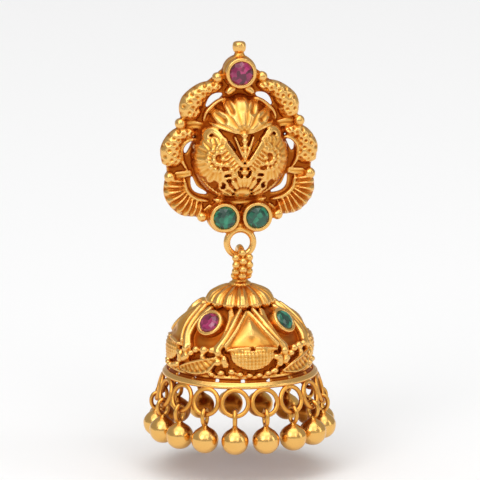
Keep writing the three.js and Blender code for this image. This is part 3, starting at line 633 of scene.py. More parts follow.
medallionBars = [
    # a hooked arm of the V, its inner line, the ribbed body under it, and the arch and curl at the foot
    {"path": [(0.05, -1.5), (0.95, -0.42), (1.82, 0.8), (2.45, 1.7), (3.02, 1.98), (3.5, 1.6), (3.42, 1.0)],
     "widths": [0.8, 1, 1.1, 1.2], "halfWidth": 0.28, "height": 0.52, "groove": 0.3, "count": 70, "ends": 0.05},
    {"path": [(0.0, -0.95), (0.36, 0.0), (0.68, 0.85), (0.94, 1.5)], "widths": [0.7, 1, 0.9], "halfWidth": 0.14,
     "height": 0.4, "count": 40, "sides": 12, "ends": 0.05},
    {"path": [(4.4, -1.75), (3.85, -3.1), (2.8, -4.15), (1.6, -4.8)], "widths": [0.6, 1, 1, 0.8], "halfWidth": 0.36,
     "height": 0.4, "ribs": 11, "ribDepth": 0.4, "count": 100, "sides": 16},
    {"path": [(0.55, -1.85), (1.35, -0.85), (2.3, 0.4), (2.85, 1.05)], "widths": [0.55, 1, 1, 0.7], "halfWidth": 0.58,
     "height": 0.56, "ribs": 10, "ribDepth": 0.45, "count": 100, "sides": 22},
    {"path": [(0.6, -2.25), (1.15, -1.95), (2.0, -2.05), (2.75, -2.85)], "widths": [0.8, 1, 0.8], "halfWidth": 0.22,
     "height": 0.5, "groove": 0.3, "count": 50, "sides": 16, "ends": 0.06},
    {"path": [(0.95, -2.65), (1.5, -2.5), (2.1, -2.85), (2.3, -3.4)], "widths": [0.7, 1, 0.9], "halfWidth": 0.17,
     "height": 0.42, "count": 40, "sides": 12, "ends": 0.06},
]
fan = {
    "hub": (2.35, -0.6), "halfWidth": 0.46, "beads": [(1.3, -1.75), (1.72, -1.2), (2.1, -0.6), (1.0, -2.3)],
    "petals": [(101, 2.3), (75, 2.3), (50, 2.35), (25, 2.4), (0, 2.4), (-25, 2.6), (-48, 2.85), (-70, 2.95), (-92, 2.8)],
}
palmette = {
    "hub": (0, 1.5),
    "petals": [((0, 5.35), 0.7, 0.2), ((1.5, 4.95), 0.58, 0.8), ((-1.5, 4.95), 0.58, 0.8), ((2.85, 3.75), 0.58, 0.8),
               ((-2.85, 3.75), 0.58, 0.8)],
    "strands": [(0.78, 4.1), (-0.78, 4.1), (2.0, 3.75), (-2.0, 3.75), (3.15, 2.65), (-3.15, 2.65)],
    "beads": (1.6, 1.05, 0.5, 0.0, -0.45),
}
lotus = {
    "base": (0, -4.7), "halfWidth": 0.25,
    "tips": [(0, -2.25), (0.62, -2.3), (-0.62, -2.3), (1.2, -2.7), (-1.2, -2.7), (1.75, -3.3), (-1.75, -3.3),
             (2.1, -4.0), (-2.1, -4.0)],
}


def mirroredBars(bars, side, place):
    return [moved(bar(**{**given, "path": flip(given["path"], side)}), place) for given in bars]


def studSide(side):
    hubX, hubZ = fan["hub"][0] * side, fan["hub"][1]
    forms = mirroredBars(plaqueBars, side, onPlaque)
    for x, z, size in granules:
        radius = stud["granule"] * size
        forms.append(moved(ellipsoid((x * side, z, 0.95), (radius,) * 3), onPlaque))
        forms.append(moved(ellipsoid((x * side, z, 0.5), (radius * 0.9, radius * 0.9, 0.45)), onPlaque))
    for angle, reach in fan["petals"]:
        a = math.radians(angle)
        tip = (hubX + side * reach * math.cos(a), hubZ + reach * math.sin(a) * 0.92)
        forms.append(moved(petalBar((hubX, hubZ), tip, fan["halfWidth"], start=0.28, relief=1.35, groove=0.45,
                                    span=(0.3, 0.92)), onMedallion))
    forms.append(moved(ellipsoid((hubX, hubZ, 0.0), (1.3, 1.3, 0.24), rows=10, sides=24), onMedallion))
    for angle in range(-100, 101, 40):
        a = math.radians(angle)
        spot = (hubX + side * 0.62 * math.cos(a), hubZ + 0.62 * math.sin(a), 0.24)
        forms.append(moved(ellipsoid(spot, (0.28, 0.28, 0.38), rows=8, sides=12), onMedallion))
    for x, z in fan["beads"]:
        forms.append(moved(ellipsoid((x * side, z, 0.15), (0.3, 0.3, 0.4), rows=10, sides=14), onMedallion))
    forms += mirroredBars(medallionBars, side, onMedallion)
    forms.append(moved(bar(spiral(2.0, -3.45, 0.62, 1.1, 1.0, side), [1, 1, 0.8], 0.17, 0.42, count=50, sides=12,
                           ends=0.05), onMedallion))
    return forms


def studMiddle():
    forms = []
    for tip, half, groove in palmette["petals"]:
        forms.append(moved(petalBar(palmette["hub"], tip, half, start=0.1, relief=1.25, groove=groove,
                                    span=(0.5, 0.92)), onMedallion))
    for tip in palmette["strands"]:
        forms.append(moved(petalBar(palmette["hub"], tip, 0.19, start=0.1, relief=1.05, groove=0), onMedallion))
    forms.append(moved(ellipsoid((0, -1.95, 0.15), (0.42, 0.34, 0.42)), onMedallion))
    for k, z in enumerate(palmette["beads"]):
        forms.append(moved(ellipsoid((0, z, 0.2), (0.38 - 0.04 * k, 0.32 - 0.02 * k, 0.42)), onMedallion))
    for tip in lotus["tips"]:
        forms.append(moved(petalBar(lotus["base"], tip, lotus["halfWidth"], start=0.42, relief=1.4, groove=0.25,
                                    span=(0.3, 0.95)), onMedallion))
    forms.append(moved(ellipsoid((0, -4.3, 0.1), (0.8, 0.75, 0.4)), onMedallion))
    forms.append(moved(bar([(-2.6, -4.95), (0, -5.25), (2.6, -4.95)], [1, 1], 0.26, 0.5, centre=0.7, count=30),
                       onPlaque))
    return forms


bezels = {
    "wall": 0.3, "foot": 0.14, "height": 1.85, "clear": 0.1, "thickness": 0.62, "rise": 0.26,
    "studSeats": {"ruby_top": (0.0, 7.24, 1.08), "emerald_left": (-1.57, -6.62, 1.05),
                  "emerald_right": (1.57, -6.62, 1.05)},
}


def bezelForms(radius, height, foot):      # round the w axis: a cup and its stepped base
    pocket = radius + 0.01
    floor = height - bezels["thickness"] + bezels["rise"] - bezels["clear"]
    outer = radius + bezels["clear"] + bezels["wall"]
    cup = [(0, 0.05), (outer, 0.05), (outer, height - 0.12), (outer - 0.08, height), (pocket + 0.06, height),
           (pocket, height - 0.08), (pocket, floor), (0, floor)]
    forms = [lathe(cup, 56)]
    if foot:
        step = height * 0.6
        forms.append(lathe([(0, 0), (outer + foot, 0), (outer + foot, step - 0.1), (outer + foot - 0.08, step),
                            (0, step)], 56))
    return forms


def studForms():
    forms = [studGround()]
    for side in (-1, 1):
        forms += studSide(side)
    forms += studMiddle()
    return forms


knobProfile = [(0, 8.5), (0.42, 8.5), (0.4, 8.75), (0.52, 8.82), (0.52, 8.93), (0.37, 9.02), (0.44, 9.1), (0.58, 9.25),
               (0.64, 9.5), (0.64, 9.8), (0.58, 10.02), (0.42, 10.14), (0, 10.17)]


def postForms():
    forms = [lathe([(0, -0.3), (1.0, -0.3), (1.0, -0.02), (0.86, 0.12), (0.7, 0.32), (0.58, 0.62), (0.55, 0.8),
                    (0.55, 4.3), (0, 4.3)], 40)]
    turns, pitch, sides = 5.1 / 0.34, 0.34, 36
    rings = []
    for y in np.arange(4.1, 9.31, 0.034):
        turn = np.linspace(0, flat, sides, endpoint=False)
        wave = np.abs(((y - 4.1) / pitch - turn / flat) % 1 - 0.5) * 2
        radius = 0.46 + 0.09 * np.clip(wave * 1.3, 0, 1)
        rings.append(np.stack([radius * np.cos(turn), radius * np.sin(turn), np.full(sides, y)], 1))
    thread = ringsForm(np.array(rings))
    tip = lathe([(0, 9.2), (0.42, 9.2), (0.4, 9.4), (0.47, 9.58), (0.5, 9.75), (0.44, 9.93), (0.28, 10.06),
                 (0, 10.1)], 32)
    return forms, [thread, tip]


def alongY(p):
    return np.stack([p[:, 0], p[:, 2], -p[:, 1]], 1)


hang = {"wire": 0.33, "ring": 1.27, "planeY": -1.0, "studRingZ": -9.171, "bellRingZ": -10.951, "neckTopZ": -12.386}


def circlePath(radius, count=40):
    a = np.linspace(0, flat, count, endpoint=False)
    return radius * np.cos(a), radius * np.sin(a)


def studRingForms():
    c, s = circlePath(hang["ring"])
    path = np.stack([c, np.full(40, hang["planeY"]), hang["studRingZ"] + s], 1)
    return [tube(path, hang["wire"], 20, closed=True, count=96),
            ellipsoid((0, hang["planeY"] * 0.7, hang["studRingZ"] + hang["ring"] + hang["wire"]), (0.5, 0.55, 0.42))]


studPieces = studForms()
seatForms = []
for name, (x, z, radius) in bezels["studSeats"].items():
    for form in bezelForms(radius, bezels["height"], bezels["foot"]):
        seatForms.append(moved(form, lambda p, x=x, z=z: onPlaque(p + np.array([x, z, 0]))))
studPieces += seatForms
studPieces.append(moved(lathe(knobProfile, 36), lambda p: p + np.array([0, -0.62, 0])))
postPlain, postThread = postForms()
studPieces += [moved(form, alongY) for form in postPlain]
studPieces += studRingForms()
studPiece = settle(castForms("studCasting", studPieces, stud["voxel"], overStudGround), "stud_body", castGold, "cast_gold", "stud")


def plainPiece(name, forms, recessShade=0.3):
    mesh = meshFrom(name, forms)
    outward(mesh)
    points, normals, edges = readMesh(mesh)
    # painted shade in the thread's grooves
    near = ((smoothed(points, edges, 6) - points) * normals).sum(1)
    setRecessShade(mesh, recessShade + 0.6 * np.clip(near / 0.04, -0.6, 1))
    mesh.vertices.foreach_set("co", (points * mm).ravel())
    mesh.update()
    mesh.shade_smooth()
    return link(name, mesh)


postPiece = plainPiece("postThread", [moved(form, alongY) for form in postThread])
settle(postPiece, "stud_body", darkThread, "cast_gold", "stud")
print("stud done")


# ---- stones
def stoneMesh(name, radius, height):
    bm = bmesh.new()
    top = height + bezels["rise"]
    base = top - bezels["thickness"]
    radius += 0.05
    levels = [(0.7, base, 0), (1.0, base + 0.2, 0), (1.0, base + 0.3, 0), (0.86, base + 0.48, 0.5),
              (0.52, top, 0)]
    rings = []
    for share, z, shift in levels:
        rings.append([bm.verts.new((share * radius * math.cos(flat * (k + shift) / 12),
                                    share * radius * math.sin(flat * (k + shift) / 12), z)) for k in range(12)])
    bm.faces.new(rings[0][::-1])
    for low, high, kind in zip(rings, rings[1:], (0, 0, 1, 2)):
        for k in range(12):
            n = (k + 1) % 12
            if kind == 0:
                bm.faces.new((low[k], low[n], high[n], high[k]))
            elif kind == 1:
                bm.faces.new((low[k], low[n], high[k]))
                bm.faces.new((low[n], high[n], high[k]))
            else:
                bm.faces.new((low[k], low[n], high[n]))
                bm.faces.new((low[k], high[n], high[k]))
    bm.faces.new(rings[-1])
    bmesh.ops.recalc_face_normals(bm, faces=bm.faces)
    mesh = bpy.data.meshes.new(name)
    bm.to_mesh(mesh)
    bm.free()
    return mesh


for name, (x, z, radius) in bezels["studSeats"].items():
    mesh = stoneMesh(name + "Cut", radius, bezels["height"])
    mesh.transform(Matrix(((1, 0, 0, x), (0, 0, -1, 0), (0, 1, 0, z), (0, 0, 0, 1))))
    mesh.transform(Matrix.Scale(mm, 4))
    isRuby = name.startswith("ruby")
    settle(link(name + "Cut", mesh), "stud_body", rubyGlass if isRuby else emeraldGlass,
           "ruby" if isRuby else "emerald", name)

# ---- screw nut
nut = {"radius": 3.6, "thickness": 1.6, "edge": 0.3, "bore": 0.69, "gap": 4.4, "arch": 0.225, "reach": 3.9,
       "archOffset": 1.1, "voxel": 0.085}


def nutForms():
    r, t, e = nut["radius"], nut["thickness"], nut["edge"]
    outline = [(nut["bore"], 0.0), (r - e, 0.0), (r - 0.06, 0.12), (r, 0.3), (r - 0.07, 0.42), (r, 0.54),
               (r - 0.07, 0.7), (r, 0.86), (r - 0.07, 1.0), (r, 1.14), (r - 0.05, 1.32), (r - e, 1.5),
               (r - 0.8, t - 0.12), (2.2, t - 0.2), (1.5, t - 0.08), (1.1, t), (nut["bore"], t)]
    turn = np.linspace(0, flat, 120, endpoint=False)
    rings = np.array([np.stack([rr * np.cos(turn), rr * np.sin(turn), np.full(120, z)], 1) for rr, z in outline])
    forms = [ringsForm(rings, closed=True)]
    for k in range(14):
        a = flat * (k + 0.5) / 14
        size = 0.36 if k % 2 else 0.3
        forms.append(ellipsoid((2.55 * math.cos(a), 2.55 * math.sin(a), t - 0.1), (size, size, 0.3)))
    forms = [moved(form, alongY) for form in forms]
    foot = r - 0.3
    rise = [(-0.2, 1), (0.25, 0.99), (0.55, 0.93), (0.85, 0.62), (1, 0), (0.85, -0.62), (0.55, -0.93), (0.25, -0.99),
            (-0.2, -1)]
    path = [(nut["archOffset"], t + out * (nut["reach"] + nut["arch"]) - nut["arch"], up * foot) for out, up in rise]
    forms.append(tube(path, nut["arch"], 16, count=120))
    return [moved(form, lambda p: p + np.array([0, nut["gap"], 0])) for form in forms]


nutPiece = settle(castForms("screwNut", nutForms(), nut["voxel"]), "nut_body", brightGold, "bright_gold",
                  "screw_nut")
print("nut done")

# ---- bell
bell = {
    "axisY": -1.0, "topZ": -13.786, "height": 7.9, "radius": 6.6, "wall": 0.5, "rimZ": -21.686, "rimRadius": 7.245,
    "rimWire": 0.225, "shellEndZ": -20.95, "voxel": 0.09, "relief": 0.42, "sink": 0.2,
}
domeRows = curveThrough([(0, 0.15), (0.2, 0.49), (0.399, 0.79), (0.6, 0.955), (0.88, 1.0), (1.0, 1.09)], 120)


def domeRadius(z):
    return bell["radius"] * np.interp((bell["topZ"] - z) / bell["height"], domeRows[:, 0], domeRows[:, 1])


def onDome(angle):
    def place(p):
        u, z, w = p[:, 0], p[:, 1], p[:, 2]
        radius = domeRadius(z)
        slope = (domeRadius(z - 0.3) - domeRadius(z + 0.3)) / 0.6
        length = np.hypot(1, slope)
        turn = angle + u / np.maximum(radius, 0.8)
        out = radius + w / length
        return np.stack([out * np.sin(turn), bell["axisY"] - out * np.cos(turn), z + w * slope / length], 1)
    return place


# height over the dome's bare ground, for painted shade there; under the rim ledge and inside the shell it is set low
# for painted shade
def overBellGround(p):
    out = np.hypot(p[:, 0], p[:, 1] - bell["axisY"])
    inBand = (p[:, 2] < bell["topZ"]) & (p[:, 2] > bell["shellEndZ"] - 0.6)
    height = np.where(inBand, out - domeRadius(p[:, 2]) + bell["sink"], 9)
    underLedge = (p[:, 2] < bell["shellEndZ"]) & (p[:, 2] > bell["rimZ"]) & (out < bell["rimRadius"] - 0.2)
    return np.where(underLedge | (out < bell["rimRadius"] - 0.9) & (height < -0.3), 0.1, height)


def roundAxis(p):
    return p + np.array([0, bell["axisY"], 0])


def shellForms():
    outer = [(domeRadius(z) - bell["sink"], z) for z in np.linspace(bell["topZ"] - 0.25, bell["shellEndZ"], 50)]
    thin = bell["wall"] - bell["sink"] * 0.4
    inner = [(max(r - thin, 0), z - 0.35 * (1 - (bell["topZ"] - z) / bell["height"])) for r, z in outer]
    inner[-1] = (outer[-1][0] - thin, outer[-1][1])
    profile = [(0, bell["topZ"] - 0.25)] + outer + inner[::-1] + [(0, inner[0][1])]
    return [moved(lathe(profile, 120), roundAxis)]


gable = {
    "apexZ": -15.6, "baseZ": -18.15, "halfBase": 2.2, "bulge": 0.3, "basketTop": -18.5, "basketDrop": 1.7,
    "basketHalf": 2.1, "basketRise": 0.72, "ribPitch": 0.31,
    "granules": [(-1.95, -20.4), (-1.2, -20.62), (-0.35, -20.74), (0.55, -20.74), (1.4, -20.58), (2.1, -20.35)],
}
gableBars = [
    {"path": [(0.0, -15.5), (0.8, -16.4), (1.6, -17.3), (2.55, -18.25)], "widths": [0.8, 1, 1], "halfWidth": 0.2,
     "height": 0.74, "count": 50, "sides": 14, "ends": 0.04},
    {"path": [(0.4, -15.2), (1.2, -16.15), (2.15, -17.3), (3.0, -18.2), (3.4, -18.75)], "widths": [0.7, 1, 1, 1.4],
     "halfWidth": 0.25, "height": 0.66, "count": 56, "sides": 14, "ends": 0.05},
    {"path": [(0.0, -18.28), (1.2, -18.32), (2.5, -18.5)], "widths": [1, 1, 0.8], "halfWidth": 0.17, "height": 0.76,
     "count": 40, "sides": 12},
]
gableBeads = [(2.62, -19.3, 0.32, 0.52), (3.2, -19.5, 0.36, 0.4), (3.2, -18.65, 0.4, 0.38)]


def halfFormRows(rows, sides, place):       # rows of (half width, z, height over s) make one swollen form
    turn = np.linspace(0, flat, sides, endpoint=False)
    s = np.cos(turn)
    rings = []
    for half, z, rise, corner in rows:
        w = np.where(np.sin(turn) > 0, rise(s) * np.abs(np.sin(turn)) ** corner, np.sin(turn) * 0.3)
        rings.append(np.stack([s * half, np.full(sides, z), w], 1))
    return moved(ringsForm(np.array(rings)), place)


def gableForms(angle):
    place = onDome(angle)
    g = gable
    face = []
    for t in np.linspace(0, 1, 26):
        def rise(s, t=t):
            dimple = 0.16 * np.exp(-((t - 0.8) / 0.09) ** 2 - (s / 0.22) ** 2)
            return 0.5 + g["bulge"] * math.sin(math.pi * min(t * 1.1, 1)) * (1 - np.abs(s)) - dimple
        face.append((0.06 + g["halfBase"] * t, g["apexZ"] + (g["baseZ"] - g["apexZ"]) * t, rise, 0.4))
    forms = [halfFormRows(face, 32, place)]
    basket = []
    for t in np.linspace(0, 1, 48):
        half = g["basketHalf"] * math.sqrt(max(1 - (0.98 * t) ** 2.2, 0.02))

        def rise(s, t=t, half=half):
            swell = g["basketRise"] * np.sqrt(np.clip(1 - (0.6 * s) ** 2 - 0.45 * t * t, 0.05, 1))
            return swell + 0.06 * np.cos(flat * s * half / g["ribPitch"]) + 0.035 * math.cos(flat * t * 5.5)
        basket.append((half, g["basketTop"] - g["basketDrop"] * t, rise, 0.3))
    forms.append(halfFormRows(basket, 150, place))
    for side in (-1, 1):
        forms += mirroredBars(gableBars, side, place)
        for u, z, across, up in gableBeads:
            forms.append(moved(ellipsoid((u * side, z, 0.22), (across, up, 0.48)), place))
    for u, z in g["granules"]:
        forms.append(moved(ellipsoid((u, z, 0.2), (0.36, 0.34, 0.46)), place))
    return forms


sectorBars = [       # frames that stand on both sides of a cup, and the small scrolls at their feet
    {"path": [(0.95, -15.2), (1.75, -16.2), (1.95, -17.5), (1.3, -18.6)], "widths": [0.6, 1, 1.1, 0.9],
     "halfWidth": 0.29, "height": 0.6, "groove": 0.3, "count": 56, "sides": 16, "ends": 0.08},
    {"path": [(2.55, -17.0), (2.75, -17.9), (2.45, -18.6)], "widths": [0.6, 1, 0.8], "halfWidth": 0.24, "height": 0.5,
     "count": 36, "sides": 12},
]
leafBars = [
    {"path": [(-2.35, -20.5), (-1.1, -20.38), (0.4, -19.95), (1.8, -19.1)], "widths": [0.25, 0.95, 1.0, 0.2],
     "halfWidth": 0.72, "height": 0.56, "lip": 0.5, "ribs": 9, "ribDepth": 0.2, "ribSlant": 0.5, "count": 90,
     "sides": 30, "ends": 0.1},
    {"path": [(-2.35, -20.45), (-1.2, -19.9), (0.3, -19.4), (1.85, -19.05)], "widths": [0.5, 1, 1, 0.5],
     "halfWidth": 0.17, "height": 0.66, "count": 50, "sides": 12, "ends": 0.05},
    {"path": [(-2.35, -20.55), (-0.7, -20.88), (0.9, -20.5), (1.9, -19.1)], "widths": [0.5, 1, 1, 0.5],
     "halfWidth": 0.19, "height": 0.66, "count": 50, "sides": 12, "ends": 0.05},
]
sectorBeads = [
    (0.35, -18.55, 0.42, 0.36), (-0.5, -18.6, 0.34, 0.32), (-1.7, -19.3, 0.46, 0.44), (1.15, -18.5, 0.34, 0.3),
    (-1.05, -18.95, 0.3, 0.28), (2.6, -19.7, 0.36, 0.36), (2.2, -20.5, 0.38, 0.36), (1.35, -20.75, 0.34, 0.32),
    (-2.5, -19.75, 0.36, 0.34), (-2.75, -19.1, 0.34, 0.32), (0.3, -19.05, 0.26, 0.22), (-3.1, -20.4, 0.36, 0.36),
    (3.15, -20.35, 0.36, 0.36),
]


def sectorForms(angle):
    place = onDome(angle)
    forms = [moved(bar(**given), place) for given in leafBars]
    for side in (-1, 1):
        forms += mirroredBars(sectorBars, side, place)
    for u, z, across, up in sectorBeads:
        forms.append(moved(ellipsoid((u, z, 0.2), (across, up, 0.46)), place))
    return forms


cup = {"tilt": 37, "length": 2.1, "standOff": 0.75, "downShare": 0.34, "stoneRadius": 0.95}


def cupMatrix(angle):
    lean = math.radians(cup["tilt"])
    z = bell["topZ"] - cup["downShare"] * bell["height"]
    share = np.interp(cup["downShare"], [0.2, 0.399], [0.49, 0.79])
    radius = bell["radius"] * share + cup["standOff"] * math.cos(lean)
    place = Matrix.Translation((0, -radius, z + cup["standOff"] * math.sin(lean)))
    return (Matrix.Translation((0, bell["axisY"], 0)) @ Matrix.Rotation(angle, 4, "Z") @ place
            @ Matrix.Rotation(math.pi / 2 - lean, 4, "X"))


def byMatrix(matrix):
    m = np.array(matrix)
    return lambda p: p @ m[:3, :3].T + m[:3, 3]


def cupForms(angle):
    lowered = [moved(form, lambda p: p - np.array([0, 0, cup["length"]]))
               for form in bezelForms(cup["stoneRadius"], cup["length"], 0)]
    return [moved(form, byMatrix(cupMatrix(angle))) for form in lowered]


def formsOf(mesh):
    points, _, _ = readMesh(mesh)
    faces = [tuple(face.vertices) for face in mesh.polygons]
    bpy.data.meshes.remove(mesh)
    return [(points, faces)]


band = {"blocks": 17, "halfAngle": 9.1, "inner": 6.35, "top": -20.75, "bottom": -21.62, "phase": 3.0}


def blockMesh():       # one short arc of the wall under the dome; the narrow gaps between arcs let light through
    arc = np.radians(np.linspace(-band["halfAngle"], band["halfAngle"], 12))
    rings = []
    for a in arc:
        section = [(band["inner"], band["top"]), (6.66, band["top"]), (6.72, -21.2), (7.05, band["bottom"]),
                   (band["inner"] + 0.25, band["bottom"])]
        rings.append([(r * math.sin(a), -r * math.cos(a), z) for r, z in section])
    mesh = meshFrom("bandBlock", [ringsForm(np.array(rings))])
    outward(mesh)
    return mesh


bandBlocks = copiesRound("bandBlocks", blockMesh(), castGold, band["blocks"], band["phase"], 0.0,
                         (0, bell["axisY"], 0), 5)


def rimForms():
    c, s = circlePath(bell["rimRadius"], 90)
    outer = np.stack([c, bell["axisY"] + s, np.full(90, bell["rimZ"])], 1)
    c, s = circlePath(bell["rimRadius"] - 0.14, 90)
    inner = np.stack([c, bell["axisY"] + s, np.full(90, bell["rimZ"] + 0.3)], 1)
    c, s = circlePath(6.76, 90)
    edge = np.stack([c, bell["axisY"] + s, np.full(90, -20.9)], 1)
    return [tube(outer, bell["rimWire"], 14, closed=True, count=240), tube(inner, 0.13, 10, closed=True, count=240),
            tube(edge, 0.17, 10, closed=True, count=240)]


bellForms = shellForms()
for k in range(4):
    bellForms += gableForms(k * math.pi / 2)
    bellForms += sectorForms((k + 0.5) * math.pi / 2)
    bellForms += cupForms((k + 0.5) * math.pi / 2)
bellForms += formsOf(bandBlocks) + rimForms()
settle(castForms("bellDome", bellForms, bell["voxel"], overBellGround), "bell_body", castGold, "cast_gold", "bell")

for k in range(4):
    isRuby = k % 2 == 1
    name = ("bell_ruby_" if isRuby else "bell_emerald_") + str(k // 2 + 1)
    mesh = stoneMesh(name + "Cut", cup["stoneRadius"], cup["length"])
    mesh.transform(Matrix.Translation((0, 0, -cup["length"])))
    mesh.transform(cupMatrix((k + 0.5) * math.pi / 2))
    mesh.transform(Matrix.Scale(mm, 4))
    settle(link(name + "Cut", mesh), "bell_body", rubyGlass if isRuby else emeraldGlass,
           "ruby" if isRuby else "emerald", name)
print("dome and stones done")

# ---- crown of the bell: ring with its granules, neck, collar and fluted cap
crown = {"petals": 14, "phase": -5.5, "thick": 0.48, "granule": 0.39, "across": 0.64, "voxel": 0.07}
petalPath = [(0.8, -13.3), (1.7, -13.64), (2.5, -14.15), (2.9, -14.75), (2.98, -15.2)]


def petalMesh():
    line = curveThrough(petalPath, 40)
    along = np.gradient(line, axis=0)
    along /= np.linalg.norm(along, axis=1)[:, None]
    turn = np.linspace(0, flat, 28, endpoint=False)
    s, c = np.sin(turn), np.cos(turn)
    rings = []
    for i, (radius, z) in enumerate(line):
        t = i / (len(line) - 1)
        end = min(1, math.sqrt((1 - t) / 0.14 + 0.02))
        half = radius * math.pi / crown["petals"] * 0.99 * end
        thick = crown["thick"] * min(1, 0.35 + t) * end
        inset = np.where(c > 0, 0.3 * np.exp(-((np.abs(s) - 0.55) / 0.13) ** 2) + 0.12 * np.exp(-(s / 0.12) ** 2), 0)
        lift = thick * (np.sign(c) * np.abs(c) ** 0.9 - inset * min(1, t * 2))
        rings.append(np.stack([s * half, -(radius - along[i][1] * lift), z + along[i][0] * lift], 1))
    mesh = meshFrom("capPetal", [ringsForm(np.array(rings))])
    outward(mesh)
    return mesh


capPetals = copiesRound("capPetals", petalMesh(), castGold, crown["petals"], math.radians(crown["phase"]), 0.0,
                        (0, bell["axisY"], 0), 8)
coreProfile = [(0, -13.0), (0.7, -13.15), (1.5, -13.5), (2.25, -14.1), (2.62, -14.8), (2.6, -15.1), (0, -15.1)]
neckProfile = [(0, -12.2), (0.6, -12.3), (0.62, -12.6), (0.78, -12.75), (0.72, -12.88), (0.98, -12.98),
               (1.06, -13.1), (1.0, -13.24), (1.24, -13.34), (1.24, -13.5), (0, -13.6)]
crownForms = formsOf(capPetals) + [moved(lathe(coreProfile, 72), roundAxis)]
crownForms.append(moved(lathe(neckProfile, 72, lambda a, r, z: 0.04 * np.cos(24 * a) * (r > 0.8)), roundAxis))
c, s = circlePath(hang["ring"])
ringPath = np.stack([np.zeros(40), bell["axisY"] + c, hang["bellRingZ"] + s], 1)
crownForms.append(tube(ringPath, hang["wire"], 20, closed=True, count=96))
for row in range(4):       # the granules on the front of the hanging ring, in three upright lines
    for column in (-1, 0, 1):
        a = -0.64 + 0.49 * row + (0.245 if column else 0)
        out = hang["ring"] + hang["wire"] + (0.08 if column == 0 else -0.16)
        crownForms.append(ellipsoid((column * crown["across"], bell["axisY"] - out * math.cos(a),
                                     hang["bellRingZ"] - out * math.sin(a)), (crown["granule"],) * 3))
settle(castForms("bellCrown", crownForms, crown["voxel"]), "bell_body", castGold, "cast_gold", "bell")
print("crown done")

# ---- fringe: soldered wire rings, and the bead drops that hang in them
def inwardShare(points, normals):       # 1 where a face looks at the bell's axis, 0 where it looks away
    away = points - np.array([0, bell["axisY"] * mm, 0])
    away[:, 2] = 0
    away /= np.linalg.norm(away, axis=1)[:, None]
    return np.clip(-(away * normals).sum(1) * 1.4, 0, 1)


dropNodes = sorted(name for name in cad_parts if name.startswith("drop_"))
fringe = {"count": len(dropNodes), "phase": 7.3, "tilt": 15, "ringRadius": 1.2285, "wire": 0.22, "centre": 7.6754,
          "z": -23.1503, "footRadius": 7.9934, "footZ": -24.3368}
lean = math.radians(fringe["tilt"])
c, s = circlePath(fringe["ringRadius"], 28)
ringPath = np.stack([c, -fringe["centre"] + s * math.sin(lean), fringe["z"] + s * math.cos(lean)], 1)
mesh = meshFrom("fringeRing", [tube(ringPath, fringe["wire"], 12, closed=True, count=48)], mm)
outward(mesh)
mesh = copiesRound("fringeRings", mesh, castGold, fringe["count"], math.radians(fringe["phase"]), 0.0,
                   (0, bell["axisY"] * mm, 0))
mesh.shade_smooth()
points, normals, _ = readMesh(mesh)
# painted shade on the side of each ring that faces the bell's axis
setRecessShade(mesh, 0.36 + 0.5 * inwardShare(points, normals))
settle(link("fringeRings", mesh), "bell_body", castGold, "cast_gold", "bell")

bead = {"radius": 1.3, "point": 0.42, "loopHalf": 0.75, "loopWire": 0.2, "gap": 0.52}
loopZ = fringe["footZ"] + bead["gap"] - bead["loopHalf"]
beadZ = loopZ - bead["loopHalf"] - bead["point"] + bead["loopWire"] / 2 - bead["radius"] * 0.86
a = np.linspace(0, flat, 20, endpoint=False)
loopPath = np.stack([np.zeros(20), -fringe["footRadius"] + bead["gap"] * np.cos(a), loopZ + bead["loopHalf"] * np.sin(a)], 1)
beadLine = [(0.001, -1.0), (0.5, -0.866), (0.866, -0.5), (1.0, 0.0), (0.93, 0.36), (0.7, 0.68), (0.42, 0.88),
            (0.2, 1.05), (0.13, 1.2), (0.001, 1.24)]
profile = curveThrough(beadLine, 30) * bead["radius"]
profile[:, 1] += beadZ
profile[:, 0] = np.maximum(profile[:, 0], 0.0)
dropForms = [tube(loopPath, bead["loopWire"], 10, closed=True, count=36),
             moved(lathe([tuple(p) for p in profile], 32), lambda p: p + np.array([0, -fringe["footRadius"], 0])),
             ellipsoid((0, -fringe["footRadius"], loopZ - bead["loopHalf"] - 0.05), (0.26, 0.26, 0.22), rows=8, sides=12)]
mesh = meshFrom("beadDrop", dropForms, mm)
outward(mesh)
mesh = copiesRound("beadDrops", mesh, beadGold, fringe["count"], math.radians(fringe["phase"]), 0.0,
                   (0, bell["axisY"] * mm, 0))
mesh.shade_smooth()
points, normals, _ = readMesh(mesh)
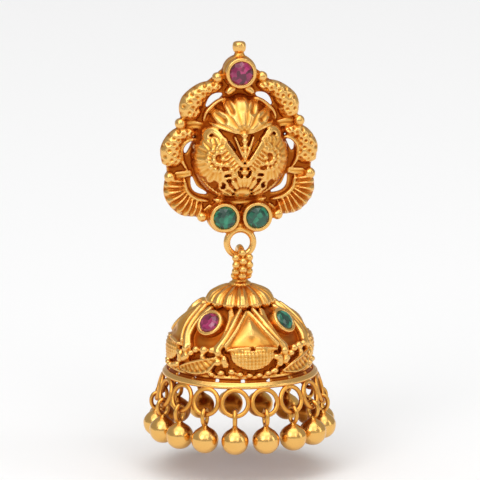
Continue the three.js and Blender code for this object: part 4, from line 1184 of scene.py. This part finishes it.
# painted shade towards the top of each bead under its loop, and on the side facing the bell's axis
setRecessShade(mesh, 0.2 + 0.35 * np.clip((points[:, 2] / mm - beadZ - 0.9) / 0.6, 0, 1)
          + 0.75 * inwardShare(points, normals))
settle(link("beadDrops", mesh), "bell_body", beadGold, "bright_gold", *dropNodes)
print("fringe done")

# ---- floor and light
floorZ = boxLow.z - studio["floorDrop"]
bm = bmesh.new()
bmesh.ops.create_circle(bm, cap_ends=True, segments=96, radius=studio["floorRadius"])
mesh = bpy.data.meshes.new("paleFloor")
bm.to_mesh(mesh)
bm.free()
mesh.transform(Matrix.Translation((0, 0, floorZ)))
floorPaint = bpy.data.materials.new("palePaper")
floorPaint.use_nodes = True
paper = floorPaint.node_tree.nodes["Principled BSDF"]
paper.inputs["Base Color"].default_value = (*studio["paper"], 1)
paper.inputs["Roughness"].default_value = 0.9
mesh.materials.append(floorPaint)
link("paleFloor", mesh)


def softbox(name, azimuth, elevation, distance, size, watts, tint=(1, 1, 1)):
    light = bpy.data.lights.new(name, "AREA")
    light.shape, light.size, light.size_y = "RECTANGLE", size[0], size[1]
    light.energy, light.color = watts, tint
    lamp = bpy.data.objects.new(name, light)
    bpy.context.scene.collection.objects.link(lamp)
    lamp.location = middle + viewVector(azimuth, elevation) * distance
    aim(lamp, middle)


softbox("keyPanel", -40, 36, 0.8, (0.3, 0.5), 1.2)
softbox("frontPanel", 14, 30, 0.8, (0.12, 0.5), 0.3)
softbox("sidePanel", 62, 22, 0.8, (0.16, 0.6), 0.6)
softbox("topPanel", 10, 82, 0.8, (0.6, 0.5), 0.8)
sun = bpy.data.lights.new("openLight", "SUN")
sun.energy, sun.angle = studio["sunStrength"], math.radians(studio["sunAngle"])
lamp = bpy.data.objects.new("openLight", sun)
bpy.context.scene.collection.objects.link(lamp)
lamp.location = middle + viewVector(-20, 62) * 0.8
aim(lamp, middle)
world = bpy.data.worlds.new("paleRoom")
bpy.context.scene.world = world
world.use_nodes = True
world.node_tree.nodes["Background"].inputs["Color"].default_value = (1, 1, 1, 1)
world.node_tree.nodes["Background"].inputs["Strength"].default_value = studio["world"]
print("studio done")
